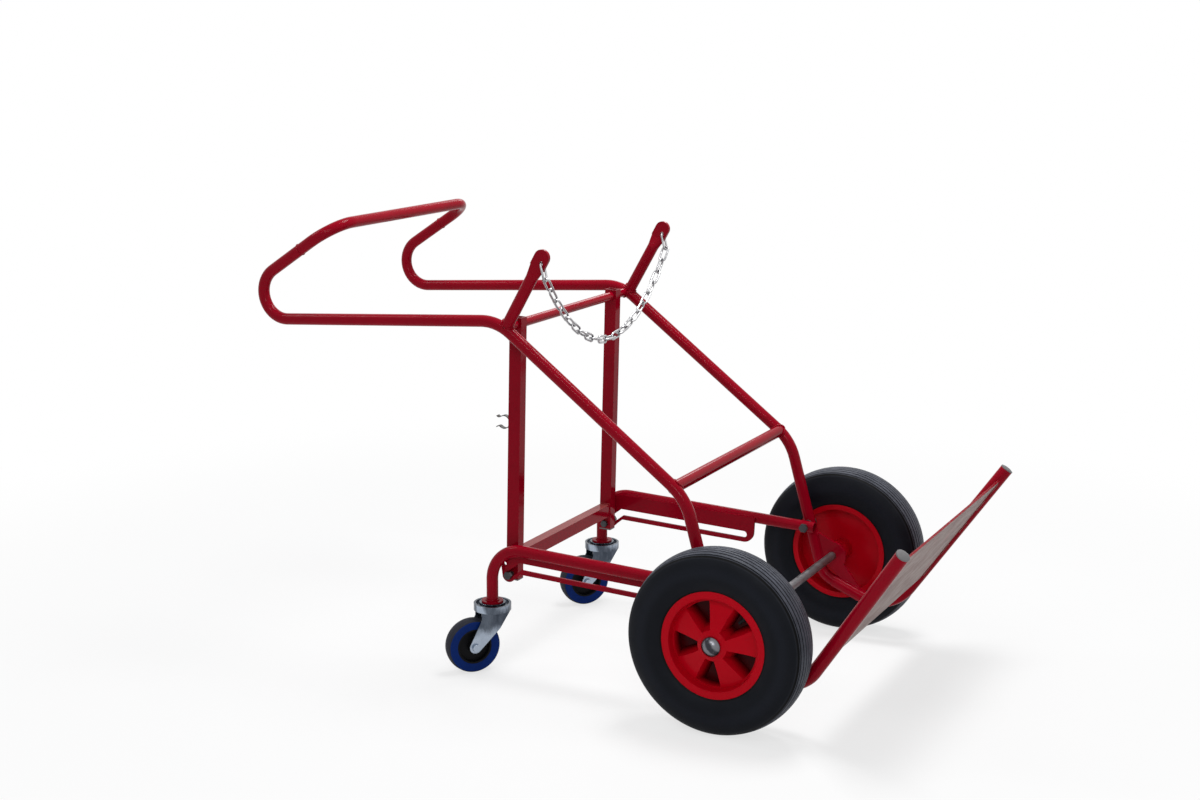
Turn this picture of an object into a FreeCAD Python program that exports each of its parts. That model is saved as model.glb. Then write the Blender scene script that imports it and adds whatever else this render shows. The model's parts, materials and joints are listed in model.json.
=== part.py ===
import FreeCAD, Part
import math
import os
import re
import Sketcher

V = FreeCAD.Vector

# Driving dimensions, in millimetres and degrees.
# Places are measured from the wheel axle (x), the middle of the cart (y) and the floor (z).
DIMENSIONS = {
    # Tubes of the frame.
    "tube_od": 26.9,
    "tube_wall": 2.6,
    "frame_half": 305.4,
    # Corners of a side tube, from the handle loop down to the low run.
    "hoop_corner_x": -1004.4,
    "hoop_corner_z": 1000.2,
    "hoop_leg": 110.0,
    "hoop_bend": 75.0,
    "rear_corner_x": -1370.3,
    "rear_corner_z": 757.2,
    "rear_bend": 61.0,
    "handle_corner_x": -574.5,
    "handle_corner_z": 815.7,
    "handle_bend": 110.0,
    "knee_corner_x": -116.7,
    "knee_corner_z": 472.6,
    "knee_bend": 130.0,
    "low_corner_x": -24.0,
    "low_corner_z": 150.0,
    "low_bend": 60.0,
    "low_run_joint": 34.0,
    # Toe tubes and toe plate.
    "toe_tube_od": 30.0,
    "toe_tube_wall": 2.6,
    "toe_angle": 56.25,
    "toe_offset": 188.9,
    "toe_heel_along": -18.0,
    "toe_tip_along": 416.2,
    "toe_flare": 86.0,
    "heel_bend": 95.0,
    "toe_plate_heel": 98.0,
    "toe_plate_lip": 390.0,
    "toe_plate_front": 6.5,
    "toe_plate_thickness": 5.0,
    "plug_flange": 3.0,
    "plug_dome": 3.0,
    "plug_insert": 14.0,
    # Cross members, by the handle corner and above the knee.
    "pivot_bar_od": 21.3,
    "pivot_bar_wall": 2.6,
    "pivot_ahead": 12.5,
    "pivot_drop": 15.7,
    "knee_bar_back": 34.1,
    # Axle and its gusset plates.
    "axle_diameter": 20.0,
    "gusset_thickness": 6.0,
    "gusset_leg_top": 250.0,
    "gusset_leg_foot": 182.0,
    "gusset_run_start": 46.0,
    "gusset_run_end": 100.0,
    "gusset_nose": 34.0,
    "gusset_nose_start": -30.0,
    "gusset_nose_end": 84.0,
    # Big wheels.
    "wheel_diameter": 400.0,
    "tyre_width": 100.0,
    "tyre_wall": 9.0,
    "tyre_shoulder_drop": 11.0,
    "tyre_shoulder_half": 40.0,
    "tyre_tread_drop": 8.0,
    "tyre_bead_gap": 0.5,
    "tyre_bead_width": 12.0,
    "tyre_groove_width": 3.4,
    "tyre_groove_foot": 1.8,
    "tyre_groove_depth": 3.0,
    "tyre_groove_pitch": 9.6,
    "groove_pair_count": 4.0,
    "rim_flange_radius": 116.0,
    "rim_seat_radius": 108.0,
    "rim_wall": 4.5,
    "rim_half_width": 38.0,
    "rim_flange_width": 4.0,
    "rim_ring_radius": 99.5,
    "web_outer_face": 22.0,
    "web_rim_step": 3.0,
    "web_hub_rise": 16.0,
    "web_hub_foot": 8.0,
    "web_back_face": -6.0,
    "web_back_wall": 4.0,
    "spoke_count": 5.0,
    "pocket_inner_radius": 33.0,
    "pocket_outer_radius": 95.0,
    "pocket_angle": 46.0,
    "pocket_root_angle": 34.0,
    "pocket_floor_inner_radius": 48.0,
    "pocket_floor_outer_radius": 90.0,
    "pocket_floor_angle": 20.0,
    "pocket_floor_root_angle": 12.0,
    "hub_radius": 25.0,
    "hub_half_length": 42.0,
    "hub_bore_radius": 13.0,
    "bearing_radius": 17.5,
    "bearing_width": 14.0,
    "running_clearance": 0.05,
    "spacer_radius": 16.0,
    "spacer_length": 32.2,
    "end_washer_radius": 17.0,
    "end_washer_thickness": 2.0,
    "hub_cap_radius": 21.0,
    "hub_cap_height": 14.0,
    "hub_cap_rim": 2.5,
    "hub_cap_wall": 5.0,
    "valve_radius": 3.8,
    "valve_length": 38.0,
    "valve_offset": 9.0,
    "valve_root_radius": 106.0,
    "rim_angle": 45.0,
    # Cylinder arms.
    "arm_base_ahead": 24.5,
    "arm_base_drop": 9.7,
    "arm_angle": 60.8,
    "arm_round_length": 128.0,
    "arm_flatten_length": 26.0,
    "arm_length": 197.0,
    "arm_flat_width": 36.0,
    "arm_flat_thickness": 8.0,
    "arm_hole_along": 168.15,
    "arm_hole_ahead": 5.68,
    "arm_hole_radius": 4.5,
    # Retaining chain.
    "link_wire": 5.0,
    "link_pitch": 35.0,
    "link_width": 20.0,
    "link_count": 21.0,
    "link_play": 0.3,
    "end_link_angle": 14.0,
    "end_link_shift": 0.6,
    "end_link_play": 0.7,
    # Castor arms, beside the legs.
    "arm_gap": 2.2,
    "arm_pivot_z": 272.0,
    "castor_arm_nose": 22.0,
    "castor_arm_angle": 2.06,
    "castor_arm_bend": 75.0,
    "stem_behind": 37.655,
    "stem_foot_z": 164.0,
    "flange_radius": 25.0,
    "flange_thickness": 4.0,
    "pivot_bolt_diameter": 12.0,
    "pivot_head_radius": 10.0,
    "pivot_head_height": 5.0,
    "pivot_nut_radius": 11.0,
    "pivot_washer_radius": 12.0,
    "turning_gap": 0.1,
    # Slotted plates, along and above the arm from its pivot.
    "slot_plate_thickness": 5.0,
    "seat_along": 511.7,
    "seat_above": -66.6,
    "plate_rise": 4.0,
    "plate_front": 126.0,
    "plate_tail": 19.5,
    "plate_foot": -60.5,
    "plate_corner": 26.0,
    "slot_front": 144.0,
    "slot_line": -41.5,
    "slot_hook": 29.7,
    "slot_width": 16.0,
    "lobe_radius": 16.5,
    "lobe_blend": 14.0,
    "lobe_front_angle": 212.0,
    "lobe_rear_angle": 340.0,
    "small_hole_behind": 10.3,
    "small_hole_above": -41.0,
    "small_hole_radius": 4.0,
    # Prop frame.
    "upright_gap": 10.65,
    "upright_depth": 30.0,
    "upright_width": 25.0,
    "upright_wall": 2.5,
    "upright_head": 16.0,
    "upright_foot": 12.8,
    "prop_tube_depth": 25.0,
    "prop_tube_height": 30.0,
    "prop_tube_wall": 2.0,
    "prop_tube_rise": 35.2,
    "slot_bolt_diameter": 10.0,
    "slot_bolt_reach": 7.0,
    "slot_head_radius": 9.0,
    "slot_nut_radius": 10.0,
    "slot_nut_height": 8.0,
    "foot_plug_height": 3.0,
    # Spring clip on one upright.
    "clip_drop": 227.0,
    "clip_radius": 14.0,
    "clip_strip": 1.5,
    "clip_width": 12.0,
    "clip_opening_angle": 128.0,
    "clip_lip_radius": 6.0,
    "clip_lip_angle": 95.0,
    "clip_screw_radius": 3.5,
    "clip_screw_play": 0.15,
    # Castors.
    "castor_radius": 62.5,
    "castor_width": 36.0,
    "castor_trail": 49.0,
    "castor_turn": 50.0,
    "castor_tread": 22.0,
    "castor_shoulder": 6.0,
    "castor_crown": 1.5,
    "castor_draft": 2.0,
    "castor_hub_radius": 13.0,
    "castor_hub_play": 0.5,
    "castor_web": 12.0,
    "castor_rim": 6.0,
    "castor_bolt_diameter": 10.0,
    "castor_nut_radius": 9.0,
    "castor_nut_height": 6.0,
    "fork_plate": 3.0,
    "fork_gap": 41.0,
    "fork_boss": 14.0,
    "fork_sink": 4.0,
    "fork_shoulder_half": 34.0,
    "fork_shoulder_drop": 21.0,
    "fork_front_drop": 6.0,
    "fork_knee_ahead": 10.0,
    "fork_knee_drop": 45.0,
    "crown_radius": 43.0,
    "crown_foot_z": 142.0,
    "crown_thickness": 10.0,
    "crown_lip": 5.0,
    "crown_lip_height": 6.0,
    "race_inner": 20.0,
    "race_outer": 30.0,
    "race_height": 2.0,
    "kingpin_diameter": 12.0,
    "kingpin_head_radius": 10.0,
    "kingpin_head_height": 5.0,
    "kingpin_reach": 22.0,
}

doc = FreeCAD.newDocument("torch_cart")
sheet = doc.addObject("Spreadsheet::Sheet", "Sizes")
for row, (alias, size) in enumerate(DIMENSIONS.items(), start=1):
    sheet.set(f"A{row}", alias)
    sheet.set(f"B{row}", str(size))
    sheet.setAlias(f"B{row}", alias)
doc.recompute()


def full(expression):
    """Name the sheet in front of each alias of an expression."""
    return re.sub(r"[a-z][a-z0-9_]*", lambda m: "Sizes." + m[0] if m[0] in DIMENSIONS else m[0],
                  expression)


def mm(expression):
    """The value of a size, or of an expression of sizes."""
    return float(sheet.evalExpression(full(expression)))


def bind(obj, **properties):
    for prop, expression in properties.items():
        obj.setExpression(prop, full(expression))


NODES = {}


def node(name, obj):
    """Hand obj in as the sub-part called name."""
    obj.Label = name
    NODES[name] = obj
    return obj


SIDES = (("right", -1), ("left", 1))


def place(x=0.0, y=0.0, z=0.0, axis=V(0, 1, 0), angle=0.0):
    return FreeCAD.Placement(V(x, y, z), FreeCAD.Rotation(axis, angle))


def origin_plane(body, role):
    return [plane for plane in body.Origin.OriginFeatures if plane.Role == role][0]


def new_body(name):
    return doc.addObject("PartDesign::Body", name)


def new_sketch(body, name, role, offset=None):
    sketch = body.newObject("Sketcher::SketchObject", name)
    sketch.AttachmentSupport = [(origin_plane(body, role), "")]
    sketch.MapMode = "FlatFace"
    if offset is not None:
        sketch.AttachmentOffset = FreeCAD.Placement(V(0, 0, offset), FreeCAD.Rotation())
    return sketch


def fix(sketch, name, constraint, expression):
    """Add a constraint and bind it to the sheet."""
    index = sketch.addConstraint(constraint)
    sketch.renameConstraint(index, name)
    sketch.setExpression("Constraints." + name, full(expression))


def add_circle(sketch, name, x, y, radius):
    """A circle whose radius is an expression."""
    index = sketch.addGeometry(Part.Circle(V(x, y, 0), V(0, 0, 1), mm(radius)), False)
    sketch.addConstraint(Sketcher.Constraint("Radius", index, mm(radius)))
    sketch.renameConstraint(sketch.ConstraintCount - 1, name)
    sketch.setExpression("Constraints." + name, full(radius))
    if x == 0 and y == 0:
        sketch.addConstraint(Sketcher.Constraint("Coincident", index, 3, -1, 1))
    return index


def add_rectangle(sketch, name, width, height):
    """A rectangle about the origin, its sides given as expressions."""
    half_w = mm(width) / 2
    half_h = mm(height) / 2
    corners = [V(-half_w, -half_h, 0), V(half_w, -half_h, 0), V(half_w, half_h, 0), V(-half_w, half_h, 0)]
    lines = [sketch.addGeometry(Part.LineSegment(corners[i], corners[(i + 1) % 4]), False) for i in range(4)]
    for i in range(4):
        sketch.addConstraint(Sketcher.Constraint("Coincident", lines[i], 2, lines[(i + 1) % 4], 1))
        level = "Horizontal" if i % 2 == 0 else "Vertical"
        sketch.addConstraint(Sketcher.Constraint(level, lines[i]))
    sketch.addConstraint(Sketcher.Constraint("Symmetric", lines[0], 1, lines[2], 1, -1, 1))
    fix(sketch, name + "_width", Sketcher.Constraint("Distance", lines[0], 2 * half_w), width)
    fix(sketch, name + "_height", Sketcher.Constraint("Distance", lines[1], 2 * half_h), height)


def add_outline(sketch, steps):
    """A closed outline. Each step is a point, or a point with the middle of the arc that leads to it."""
    ends = [V(*step[:2], 0) for step in steps]
    for i, step in enumerate(steps):
        start = ends[i - 1]
        if len(step) == 4:
            piece = Part.Arc(start, V(*step[2:], 0), ends[i])
        else:
            piece = Part.LineSegment(start, ends[i])
        sketch.addGeometry(piece, False)


def pad(body, name, sketch, length, middle=True, reverse=False):
    feature = body.newObject("PartDesign::Pad", name)
    feature.Profile = sketch
    feature.SideType = "Symmetric" if middle else "One side"
    feature.Reversed = reverse
    feature.Length = mm(length)
    bind(feature, Length=length)
    doc.recompute()
    return feature


def cut_through(body, name, sketch):
    """A pocket both ways from its sketch, checked to take something away."""
    before = body.Shape.Volume
    feature = body.newObject("PartDesign::Pocket", name)
    feature.Profile = sketch
    feature.SideType = "Symmetric"
    feature.Type = "ThroughAll"
    doc.recompute()
    if body.Shape.Volume > before - 1e-3:
        raise RuntimeError(name + " cuts nothing")
    return feature


def revolve(body, name, sketch):
    """Turn a profile about the z axis of its body."""
    feature = body.newObject("PartDesign::Revolution", name)
    feature.Profile = sketch
    feature.ReferenceAxis = (sketch, ["V_Axis"])
    feature.Angle = 360
    doc.recompute()
    return feature


def dome_middle(rim, low, top):
    """Middle of the arc from (rim, low) to (0, top), as on a ball centred on the axis."""
    centre = (rim ** 2 + low ** 2 - top ** 2) / (2 * (low - top))
    radius = top - centre
    half = math.atan2(rim, low - centre) / 2
    return (radius * math.sin(half), centre + radius * math.cos(half))


def corner_points(points, bends):
    """Straight ends and arc middles of a polyline whose corners are rounded."""
    pieces = []
    start = points[0]
    for corner, bend, after in zip(points[1:-1], bends, points[2:]):
        before = (start - corner).normalize()
        beyond = (after - corner).normalize()
        half = before.getAngle(beyond) / 2
        setback = bend / math.tan(half)
        bisector = (before + beyond).normalize()
        middle = corner + bisector * (bend / math.sin(half) - bend)
        entry = corner + before * setback
        leave = corner + beyond * setback
        pieces.append(("line", start, entry))
        pieces.append(("arc", entry, middle, leave))
        start = leave
    pieces.append(("line", start, points[-1]))
    return pieces


def bent_tube(name, corners, bends, diameter, wall=None, role="XZ_Plane"):
    """A tube swept round the bends of a flat path. Corners are (x, y) of the plane, bends are expressions."""
    body = new_body(name)
    path = new_sketch(body, name + "_path", role)
    points = [V(x, y, 0) for x, y in corners]
    pieces = corner_points(points, [mm(bend) for bend in bends])
    for piece in pieces:
        if piece[0] == "line":
            path.addGeometry(Part.LineSegment(piece[1], piece[2]), False)
        else:
            path.addGeometry(Part.Arc(*piece[1:]), False)
    for i in range(len(pieces)):
        path.addConstraint(Sketcher.Constraint("Block", i))
    doc.recompute()
    section = body.newObject("Sketcher::SketchObject", name + "_section")
    section.AttachmentSupport = [(path, "Edge1")]
    section.MapMode = "NormalToEdge"
    section.MapPathParameter = 0.0
    add_circle(section, "outside", 0, 0, f"{diameter} / 2")
    if wall is not None:
        add_circle(section, "inside", 0, 0, f"{diameter} / 2 - {wall}")
    doc.recompute()
    sweep = body.newObject("PartDesign::AdditivePipe", name + "_sweep")
    sweep.Profile = section
    sweep.Spine = (path, [f"Edge{i + 1}" for i in range(len(pieces))])
    doc.recompute()
    return body


# Places that follow from the driving dimensions.
TUBE_RADIUS = mm("tube_od / 2")
FRAME_HALF = mm("frame_half")
TOE_TIP_HALF = mm("frame_half + toe_flare")
WHEEL_RADIUS = mm("wheel_diameter / 2")
GUSSET_FACE = "frame_half + gusset_thickness / 2"
HUB_INNER = f"{GUSSET_FACE} + spacer_length"
HUB_OUTER = f"{HUB_INNER} + 2 * hub_half_length"
WHEEL_HALF = mm(f"{HUB_INNER} + hub_half_length")
ARM_LINE = "frame_half - tube_od - arm_gap"
PLATE_FACE = f"{ARM_LINE} - tube_od / 2 - slot_plate_thickness"
UPRIGHT_LINE = f"{PLATE_FACE} - upright_gap - upright_width / 2"
CORNER_BLEND = math.sqrt(0.5)
HOOP_CORNER = V(mm("hoop_corner_x"), mm("hoop_corner_z"), 0)
REAR_CORNER = V(mm("rear_corner_x"), mm("rear_corner_z"), 0)
HANDLE_CORNER = V(mm("handle_corner_x"), mm("handle_corner_z"), 0)
KNEE_CORNER = V(mm("knee_corner_x"), mm("knee_corner_z"), 0)
LOW_CORNER = V(mm("low_corner_x"), mm("low_corner_z"), 0)
RISE = (REAR_CORNER - HOOP_CORNER).normalize()
RISE_JOINT = HOOP_CORNER + RISE * mm("hoop_leg")
SLOPE = (KNEE_CORNER - HANDLE_CORNER).normalize()
LEG = (LOW_CORNER - KNEE_CORNER).normalize()
PIVOT_X = mm("handle_corner_x + pivot_ahead")
PIVOT_Z = mm("handle_corner_z - pivot_drop")
KNEE_BAR = KNEE_CORNER - SLOPE * mm("knee_bar_back")
ARM_PIVOT = KNEE_CORNER + LEG * (mm("knee_corner_z - arm_pivot_z") / -LEG.y)

# The toe plane: along runs up the toe tubes, ahead stands off them, away from the cylinders.
TOE_ANGLE = math.radians(mm("toe_angle"))
ALONG = V(math.cos(TOE_ANGLE), math.sin(TOE_ANGLE), 0)
AHEAD = V(math.sin(TOE_ANGLE), -math.cos(TOE_ANGLE), 0)
AXLE = V(0, WHEEL_RADIUS, 0)


def toe_point(along, ahead):
    """A point of the side view, from its distances along and ahead of the axle."""
    return AXLE + ALONG * along + AHEAD * ahead


HEEL_CORNER = toe_point(mm("toe_heel_along"), mm("toe_offset"))
TOE_TIP = toe_point(mm("toe_tip_along"), mm("toe_offset"))
LOW_RUN = (HEEL_CORNER - LOW_CORNER).normalize()
RUN_JOINT = LOW_CORNER + LOW_RUN * mm("low_run_joint")
SPLAY = mm("toe_flare / (toe_tip_along - toe_heel_along)")

SIDE_PATH = [RISE_JOINT, REAR_CORNER, HANDLE_CORNER, KNEE_CORNER, LOW_CORNER, RUN_JOINT]
SIDE_BENDS = ["rear_bend", "handle_bend", "knee_bend", "low_bend"]


def side_tube(name, wall=None):
    return bent_tube(name, [(p.x, p.y) for p in SIDE_PATH], SIDE_BENDS, "tube_od", wall)


def cylinder(name, radius, height, placement=None):
    """A round bar along its own z axis, its sizes given as expressions."""
    bar = doc.addObject("Part::Cylinder", name)
    bind(bar, Radius=radius, Height=height)
    bar.Placement = placement or FreeCAD.Placement()
    return bar


def cross_cylinder(name, radius, length, x, z, middle=0.0):
    """A round bar across the cart, centred on y = middle."""
    return cylinder(name, radius, length, place(x, middle + mm(length) / 2, z, V(1, 0, 0), 90))


def cut(name, base, *tools):
    """Base without the tools, which are joined first where there are several."""
    result = base
    for number, tool in enumerate(tools, start=1):
        step = doc.addObject("Part::Cut", name if number == len(tools) else f"{name}_cut_{number}")
        step.Base = result
        step.Tool = tool
        result = step
    return result


def join(name, *parts):
    fused = doc.addObject("Part::MultiFuse", name)
    fused.Shapes = list(parts)
    return fused


def group(name, *parts):
    """Separate solids that share one node."""
    together = doc.addObject("Part::Compound", name)
    together.Links = list(parts)
    return together


def ring(name, outer, inner, height, placement):
    """A flat ring along the z axis of its placement."""
    return cut(name, cylinder(name + "_outside", outer, height, placement),
               cylinder(name + "_bore", inner, height, placement))


def across(y, sign):
    """The placement whose z axis points outwards across the cart, from a point at y on the axle line."""
    return place(0, sign * y, WHEEL_RADIUS, V(1, 0, 0), -90 * sign)


# Side tubes, from the handle loop to the low run, each with the hole of a castor arm's pivot bolt.
envelopes = {}
for side, sign in SIDES:
    tube = side_tube("side_tube_" + side, "tube_wall")
    bolt_hole = new_sketch(tube, f"side_tube_{side}_bolt_hole", "XZ_Plane")
    add_circle(bolt_hole, "bore", ARM_PIVOT.x, ARM_PIVOT.y, "pivot_bolt_diameter / 2 + running_clearance")
    cut_through(tube, f"side_tube_{side}_bolt_pocket", bolt_hole)
    tube.Placement = place(y=sign * FRAME_HALF)
    node("side_tube_" + side, tube)
    envelopes[side] = side_tube("side_envelope_" + side)
    envelopes[side].Placement = place(y=sign * FRAME_HALF)

# Handle hoop, flat in the plane of the two rises.
hoop_leg = mm("hoop_leg")
hoop = bent_tube("handle_hoop",
                 [(hoop_leg, -FRAME_HALF), (0, -FRAME_HALF), (0, FRAME_HALF), (hoop_leg, FRAME_HALF)],
                 ["hoop_bend", "hoop_bend"], "tube_od", "tube_wall", "XY_Plane")
hoop.Placement = FreeCAD.Placement(V(HOOP_CORNER.x, 0, HOOP_CORNER.y),
                                   FreeCAD.Rotation(V(RISE.x, 0, RISE.y), V(0, 1, 0), V(0, 0, 0), "XYZ"))
node("handle_hoop", hoop)

# Cross members, coped to the side tubes.
pivot_bar = cross_cylinder("pivot_bar_round", "pivot_bar_od / 2", "2 * frame_half",
                           PIVOT_X, PIVOT_Z)
pivot_bore = cross_cylinder("pivot_bar_bore", "pivot_bar_od / 2 - pivot_bar_wall", "2 * frame_half",
                            PIVOT_X, PIVOT_Z)
node("pivot_bar", cut("pivot_bar", pivot_bar, pivot_bore, envelopes["right"], envelopes["left"]))
knee_bar = cross_cylinder("knee_bar_round", "tube_od / 2", "2 * frame_half", KNEE_BAR.x, KNEE_BAR.y)
knee_bore = cross_cylinder("knee_bar_bore", "tube_od / 2 - tube_wall", "2 * frame_half",
                           KNEE_BAR.x, KNEE_BAR.y)
node("knee_crossbar", cut("knee_crossbar", knee_bar, knee_bore, envelopes["right"], envelopes["left"]))

# Toe tubes: they leave the side tubes on the low run, turn at the heel and flare outwards.
for side, sign in SIDES:
    start = V(RUN_JOINT.x, sign * FRAME_HALF, RUN_JOINT.y)
    heel = V(HEEL_CORNER.x, sign * FRAME_HALF, HEEL_CORNER.y)
    tip = V(TOE_TIP.x, sign * TOE_TIP_HALF, TOE_TIP.y)
    run_length = start.distanceToPoint(heel)
    run = (heel - start).normalize()
    rise = tip - heel
    upward = (rise - run * rise.dot(run)).normalize()
    corners = [(0, 0), (run_length, 0), (run_length + rise.dot(run), rise.dot(upward))]
    frame = FreeCAD.Placement(start, FreeCAD.Rotation(run, V(0, 0, 0), upward, "XZY"))
    tube = bent_tube("toe_tube_" + side, corners, ["heel_bend"], "toe_tube_od", "toe_tube_wall")
    tube.Placement = frame
    node("toe_tube_" + side, tube)
    toe_direction = rise.normalize()

# End plugs of the toe tubes.
plugs = []
for side, sign in SIDES:
    plug = new_body("toe_plug_" + side)
    profile = new_sketch(plug, f"toe_plug_{side}_profile", "XZ_Plane")
    bore = mm("toe_tube_od / 2 - toe_tube_wall")
    rim = mm("toe_tube_od / 2")
    top = mm("plug_flange + plug_dome")
    flange = mm("plug_flange")
    add_outline(profile, [(0, -mm("plug_insert")), (bore, -mm("plug_insert")), (bore, 0), (rim, 0),
                          (rim, flange), (0, top) + dome_middle(rim, flange, top)])
    revolve(plug, f"toe_plug_{side}_turn", profile)
    outward = V(toe_direction.x, sign * abs(toe_direction.y), toe_direction.z)
    plug.Placement = FreeCAD.Placement(V(TOE_TIP.x, sign * TOE_TIP_HALF, TOE_TIP.y),
                                       FreeCAD.Rotation(V(0, 0, 1), outward))
    plugs.append(plug)
node("toe_plugs", group("toe_plugs", *plugs))

# Toe plate, welded between the toe tubes.
plate = new_body("toe_plate")
outline = new_sketch(plate, "toe_plate_outline", "XY_Plane")


def plate_half(along):
    """Half the width between the toe tubes, at a distance along them."""
    centre = TOE_TIP_HALF - SPLAY * (mm("toe_tip_along") - along)
    return centre - mm("toe_tube_od / 2") * math.sqrt(1 + SPLAY ** 2)


heel_at = mm("toe_plate_heel")
lip_at = mm("toe_plate_lip")
add_outline(outline, [(heel_at, -plate_half(heel_at)), (lip_at, -plate_half(lip_at)),
                      (lip_at, plate_half(lip_at)), (heel_at, plate_half(heel_at))])
pad(plate, "toe_plate_pad", outline, "toe_plate_thickness", middle=False)
plate_level = -mm("toe_offset + toe_plate_front")
plate.Placement = FreeCAD.Placement(
    V(0, 0, WHEEL_RADIUS) + V(-math.sin(TOE_ANGLE), 0, math.cos(TOE_ANGLE)) * plate_level,
    FreeCAD.Rotation(V(0, 1, 0), -mm("toe_angle")))
node("toe_plate", plate)

# Gusset plates that carry the axle, between each leg and the low run.
leg_front = V(-LEG.y, LEG.x, 0)
run_top = V(-LOW_RUN.y, LOW_RUN.x, 0)


def leg_edge(z):
    """The front edge of the leg, at a height of its middle line."""
    along = (KNEE_CORNER.y - z) / -LEG.y
    return KNEE_CORNER + LEG * along + leg_front * TUBE_RADIUS


def run_edge(along):
    return LOW_CORNER + LOW_RUN * along + run_top * mm("toe_tube_od / 2")


def nose_point(angle):
    """A point of the rounded nose in front of the axle."""
    turned = math.radians(angle)
    return (mm("gusset_nose") * math.cos(turned), WHEEL_RADIUS + mm("gusset_nose") * math.sin(turned))


nose_start = mm("gusset_nose_start")
nose_end = mm("gusset_nose_end")
for side, sign in SIDES:
    gusset = new_body("axle_gusset_" + side)
    outline = new_sketch(gusset, f"axle_gusset_{side}_outline", "XZ_Plane")
    corners = [leg_edge(mm("gusset_leg_top")), leg_edge(mm("gusset_leg_foot")),
               run_edge(mm("gusset_run_start")), run_edge(mm("gusset_run_end"))]
    steps = [(p.x, p.y) for p in corners]
    steps.append(nose_point(nose_start))
    steps.append(nose_point(nose_end) + nose_point((nose_start + nose_end) / 2))
    add_outline(outline, steps)
    pad(gusset, f"axle_gusset_{side}_pad", outline, "gusset_thickness")
    hole = new_sketch(gusset, f"axle_gusset_{side}_hole", "XZ_Plane")
    add_circle(hole, "bore", 0, WHEEL_RADIUS, "axle_diameter / 2 + running_clearance")
    cut_through(gusset, f"axle_gusset_{side}_bore", hole)
    gusset.Placement = place(y=sign * FRAME_HALF)
    node("axle_gusset_" + side, gusset)

# Axle, with spacers inside the wheels and washers and hub caps outside them.
CAP_SEAT = f"{HUB_OUTER} + end_washer_thickness"
node("axle", cross_cylinder("axle", "axle_diameter / 2",
                            f"2 * ({CAP_SEAT} + hub_cap_height - hub_cap_wall)",
                            0, WHEEL_RADIUS))
BORE = "axle_diameter / 2 + running_clearance"
spacers = [ring("axle_spacer_" + side, "spacer_radius", BORE, "spacer_length",
                across(mm(GUSSET_FACE), sign)) for side, sign in SIDES]
node("axle_spacers", group("axle_spacers", *spacers))
washers = [ring("axle_washer_" + side, "end_washer_radius", BORE, "end_washer_thickness",
                across(mm(HUB_OUTER), sign)) for side, sign in SIDES]
node("axle_washers", group("axle_washers", *washers))
caps = []
for side, sign in SIDES:
    cap = new_body("hub_cap_" + side)
    profile = new_sketch(cap, f"hub_cap_{side}_profile", "XZ_Plane")
    radius = mm("hub_cap_radius")
    height = mm("hub_cap_height")
    bore = mm(BORE)
    rim = mm("hub_cap_rim")
    seat = mm("hub_cap_height - hub_cap_wall")
    add_outline(profile, [(bore, 0), (radius, 0), (radius, rim),
                          (0, height) + dome_middle(radius, rim, height), (0, seat), (bore, seat)])
    revolve(cap, f"hub_cap_{side}_turn", profile)
    cap.Placement = across(mm(CAP_SEAT), sign)
    caps.append(cap)
node("hub_caps", group("hub_caps", *caps))


# Big wheels, turned about their own z axis, which points outwards.
def level_arc(peak, other):
    """Middle of the arc that runs level at its peak and ends at another point of the profile."""
    run = other[0] - peak[0]
    drop = peak[1] - other[1]
    radius = (run ** 2 + drop ** 2) / (2 * drop)
    half = math.atan2(run, radius - drop) / 2
    return (peak[0] + radius * math.sin(half), peak[1] - radius * (1 - math.cos(half)))


def other_side(point):
    """The same point of the profile on the far side of the wheel."""
    return (point[0], -point[1])


def tyre_profile(sketch):
    """The carcass: open towards the rim, with grooves round its tread."""
    wall = mm("tyre_wall")
    seat = mm("rim_seat_radius")
    bead = mm("rim_half_width - rim_flange_width")
    bead_in = bead - mm("tyre_bead_width")
    lip = mm("rim_flange_radius + tyre_bead_gap")
    shoulder_half = mm("tyre_shoulder_half")
    depth = mm("tyre_groove_depth")
    groove = mm("tyre_groove_width / 2")
    groove_foot = mm("tyre_groove_foot / 2")

    def tread(a):
        """Radius of the crowned tread at a distance from the middle."""
        return WHEEL_RADIUS - mm("tyre_tread_drop") * (a / shoulder_half) ** 2

    widest = (WHEEL_RADIUS + seat) / 2
    foot = (lip, mm("rim_half_width"))
    side = (widest, mm("tyre_width / 2"))
    edge = (mm("wheel_diameter / 2 - tyre_shoulder_drop"), shoulder_half)
    steps = [(seat, bead), (lip, bead), foot, side + level_arc(side, foot), edge + level_arc(side, edge)]
    pairs = int(mm("groove_pair_count"))
    for number in range(2 * pairs):
        a = (pairs - 0.5 - number) * mm("tyre_groove_pitch")
        steps += [(tread(a + groove), a + groove), (tread(a) - depth, a + groove_foot),
                  (tread(a) - depth, a - groove_foot), (tread(a - groove), a - groove)]
    steps += [other_side(edge), other_side(side) + other_side(level_arc(side, edge)),
              other_side(foot) + other_side(level_arc(side, foot)), (lip, -bead), (seat, -bead)]
    inner_foot = (lip + wall / 2, bead_in)
    inner_side = (widest, mm("tyre_width / 2 - tyre_wall"))
    inner_crown = (WHEEL_RADIUS - wall - depth, 0)
    steps += [(seat, -bead_in), other_side(inner_foot),
              other_side(inner_side) + other_side(level_arc(inner_side, inner_foot)),
              inner_crown + other_side(level_arc(inner_side, inner_crown)),
              inner_side + level_arc(inner_side, inner_crown),
              inner_foot + level_arc(inner_side, inner_foot), (seat, bead_in)]
    add_outline(sketch, steps)


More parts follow.
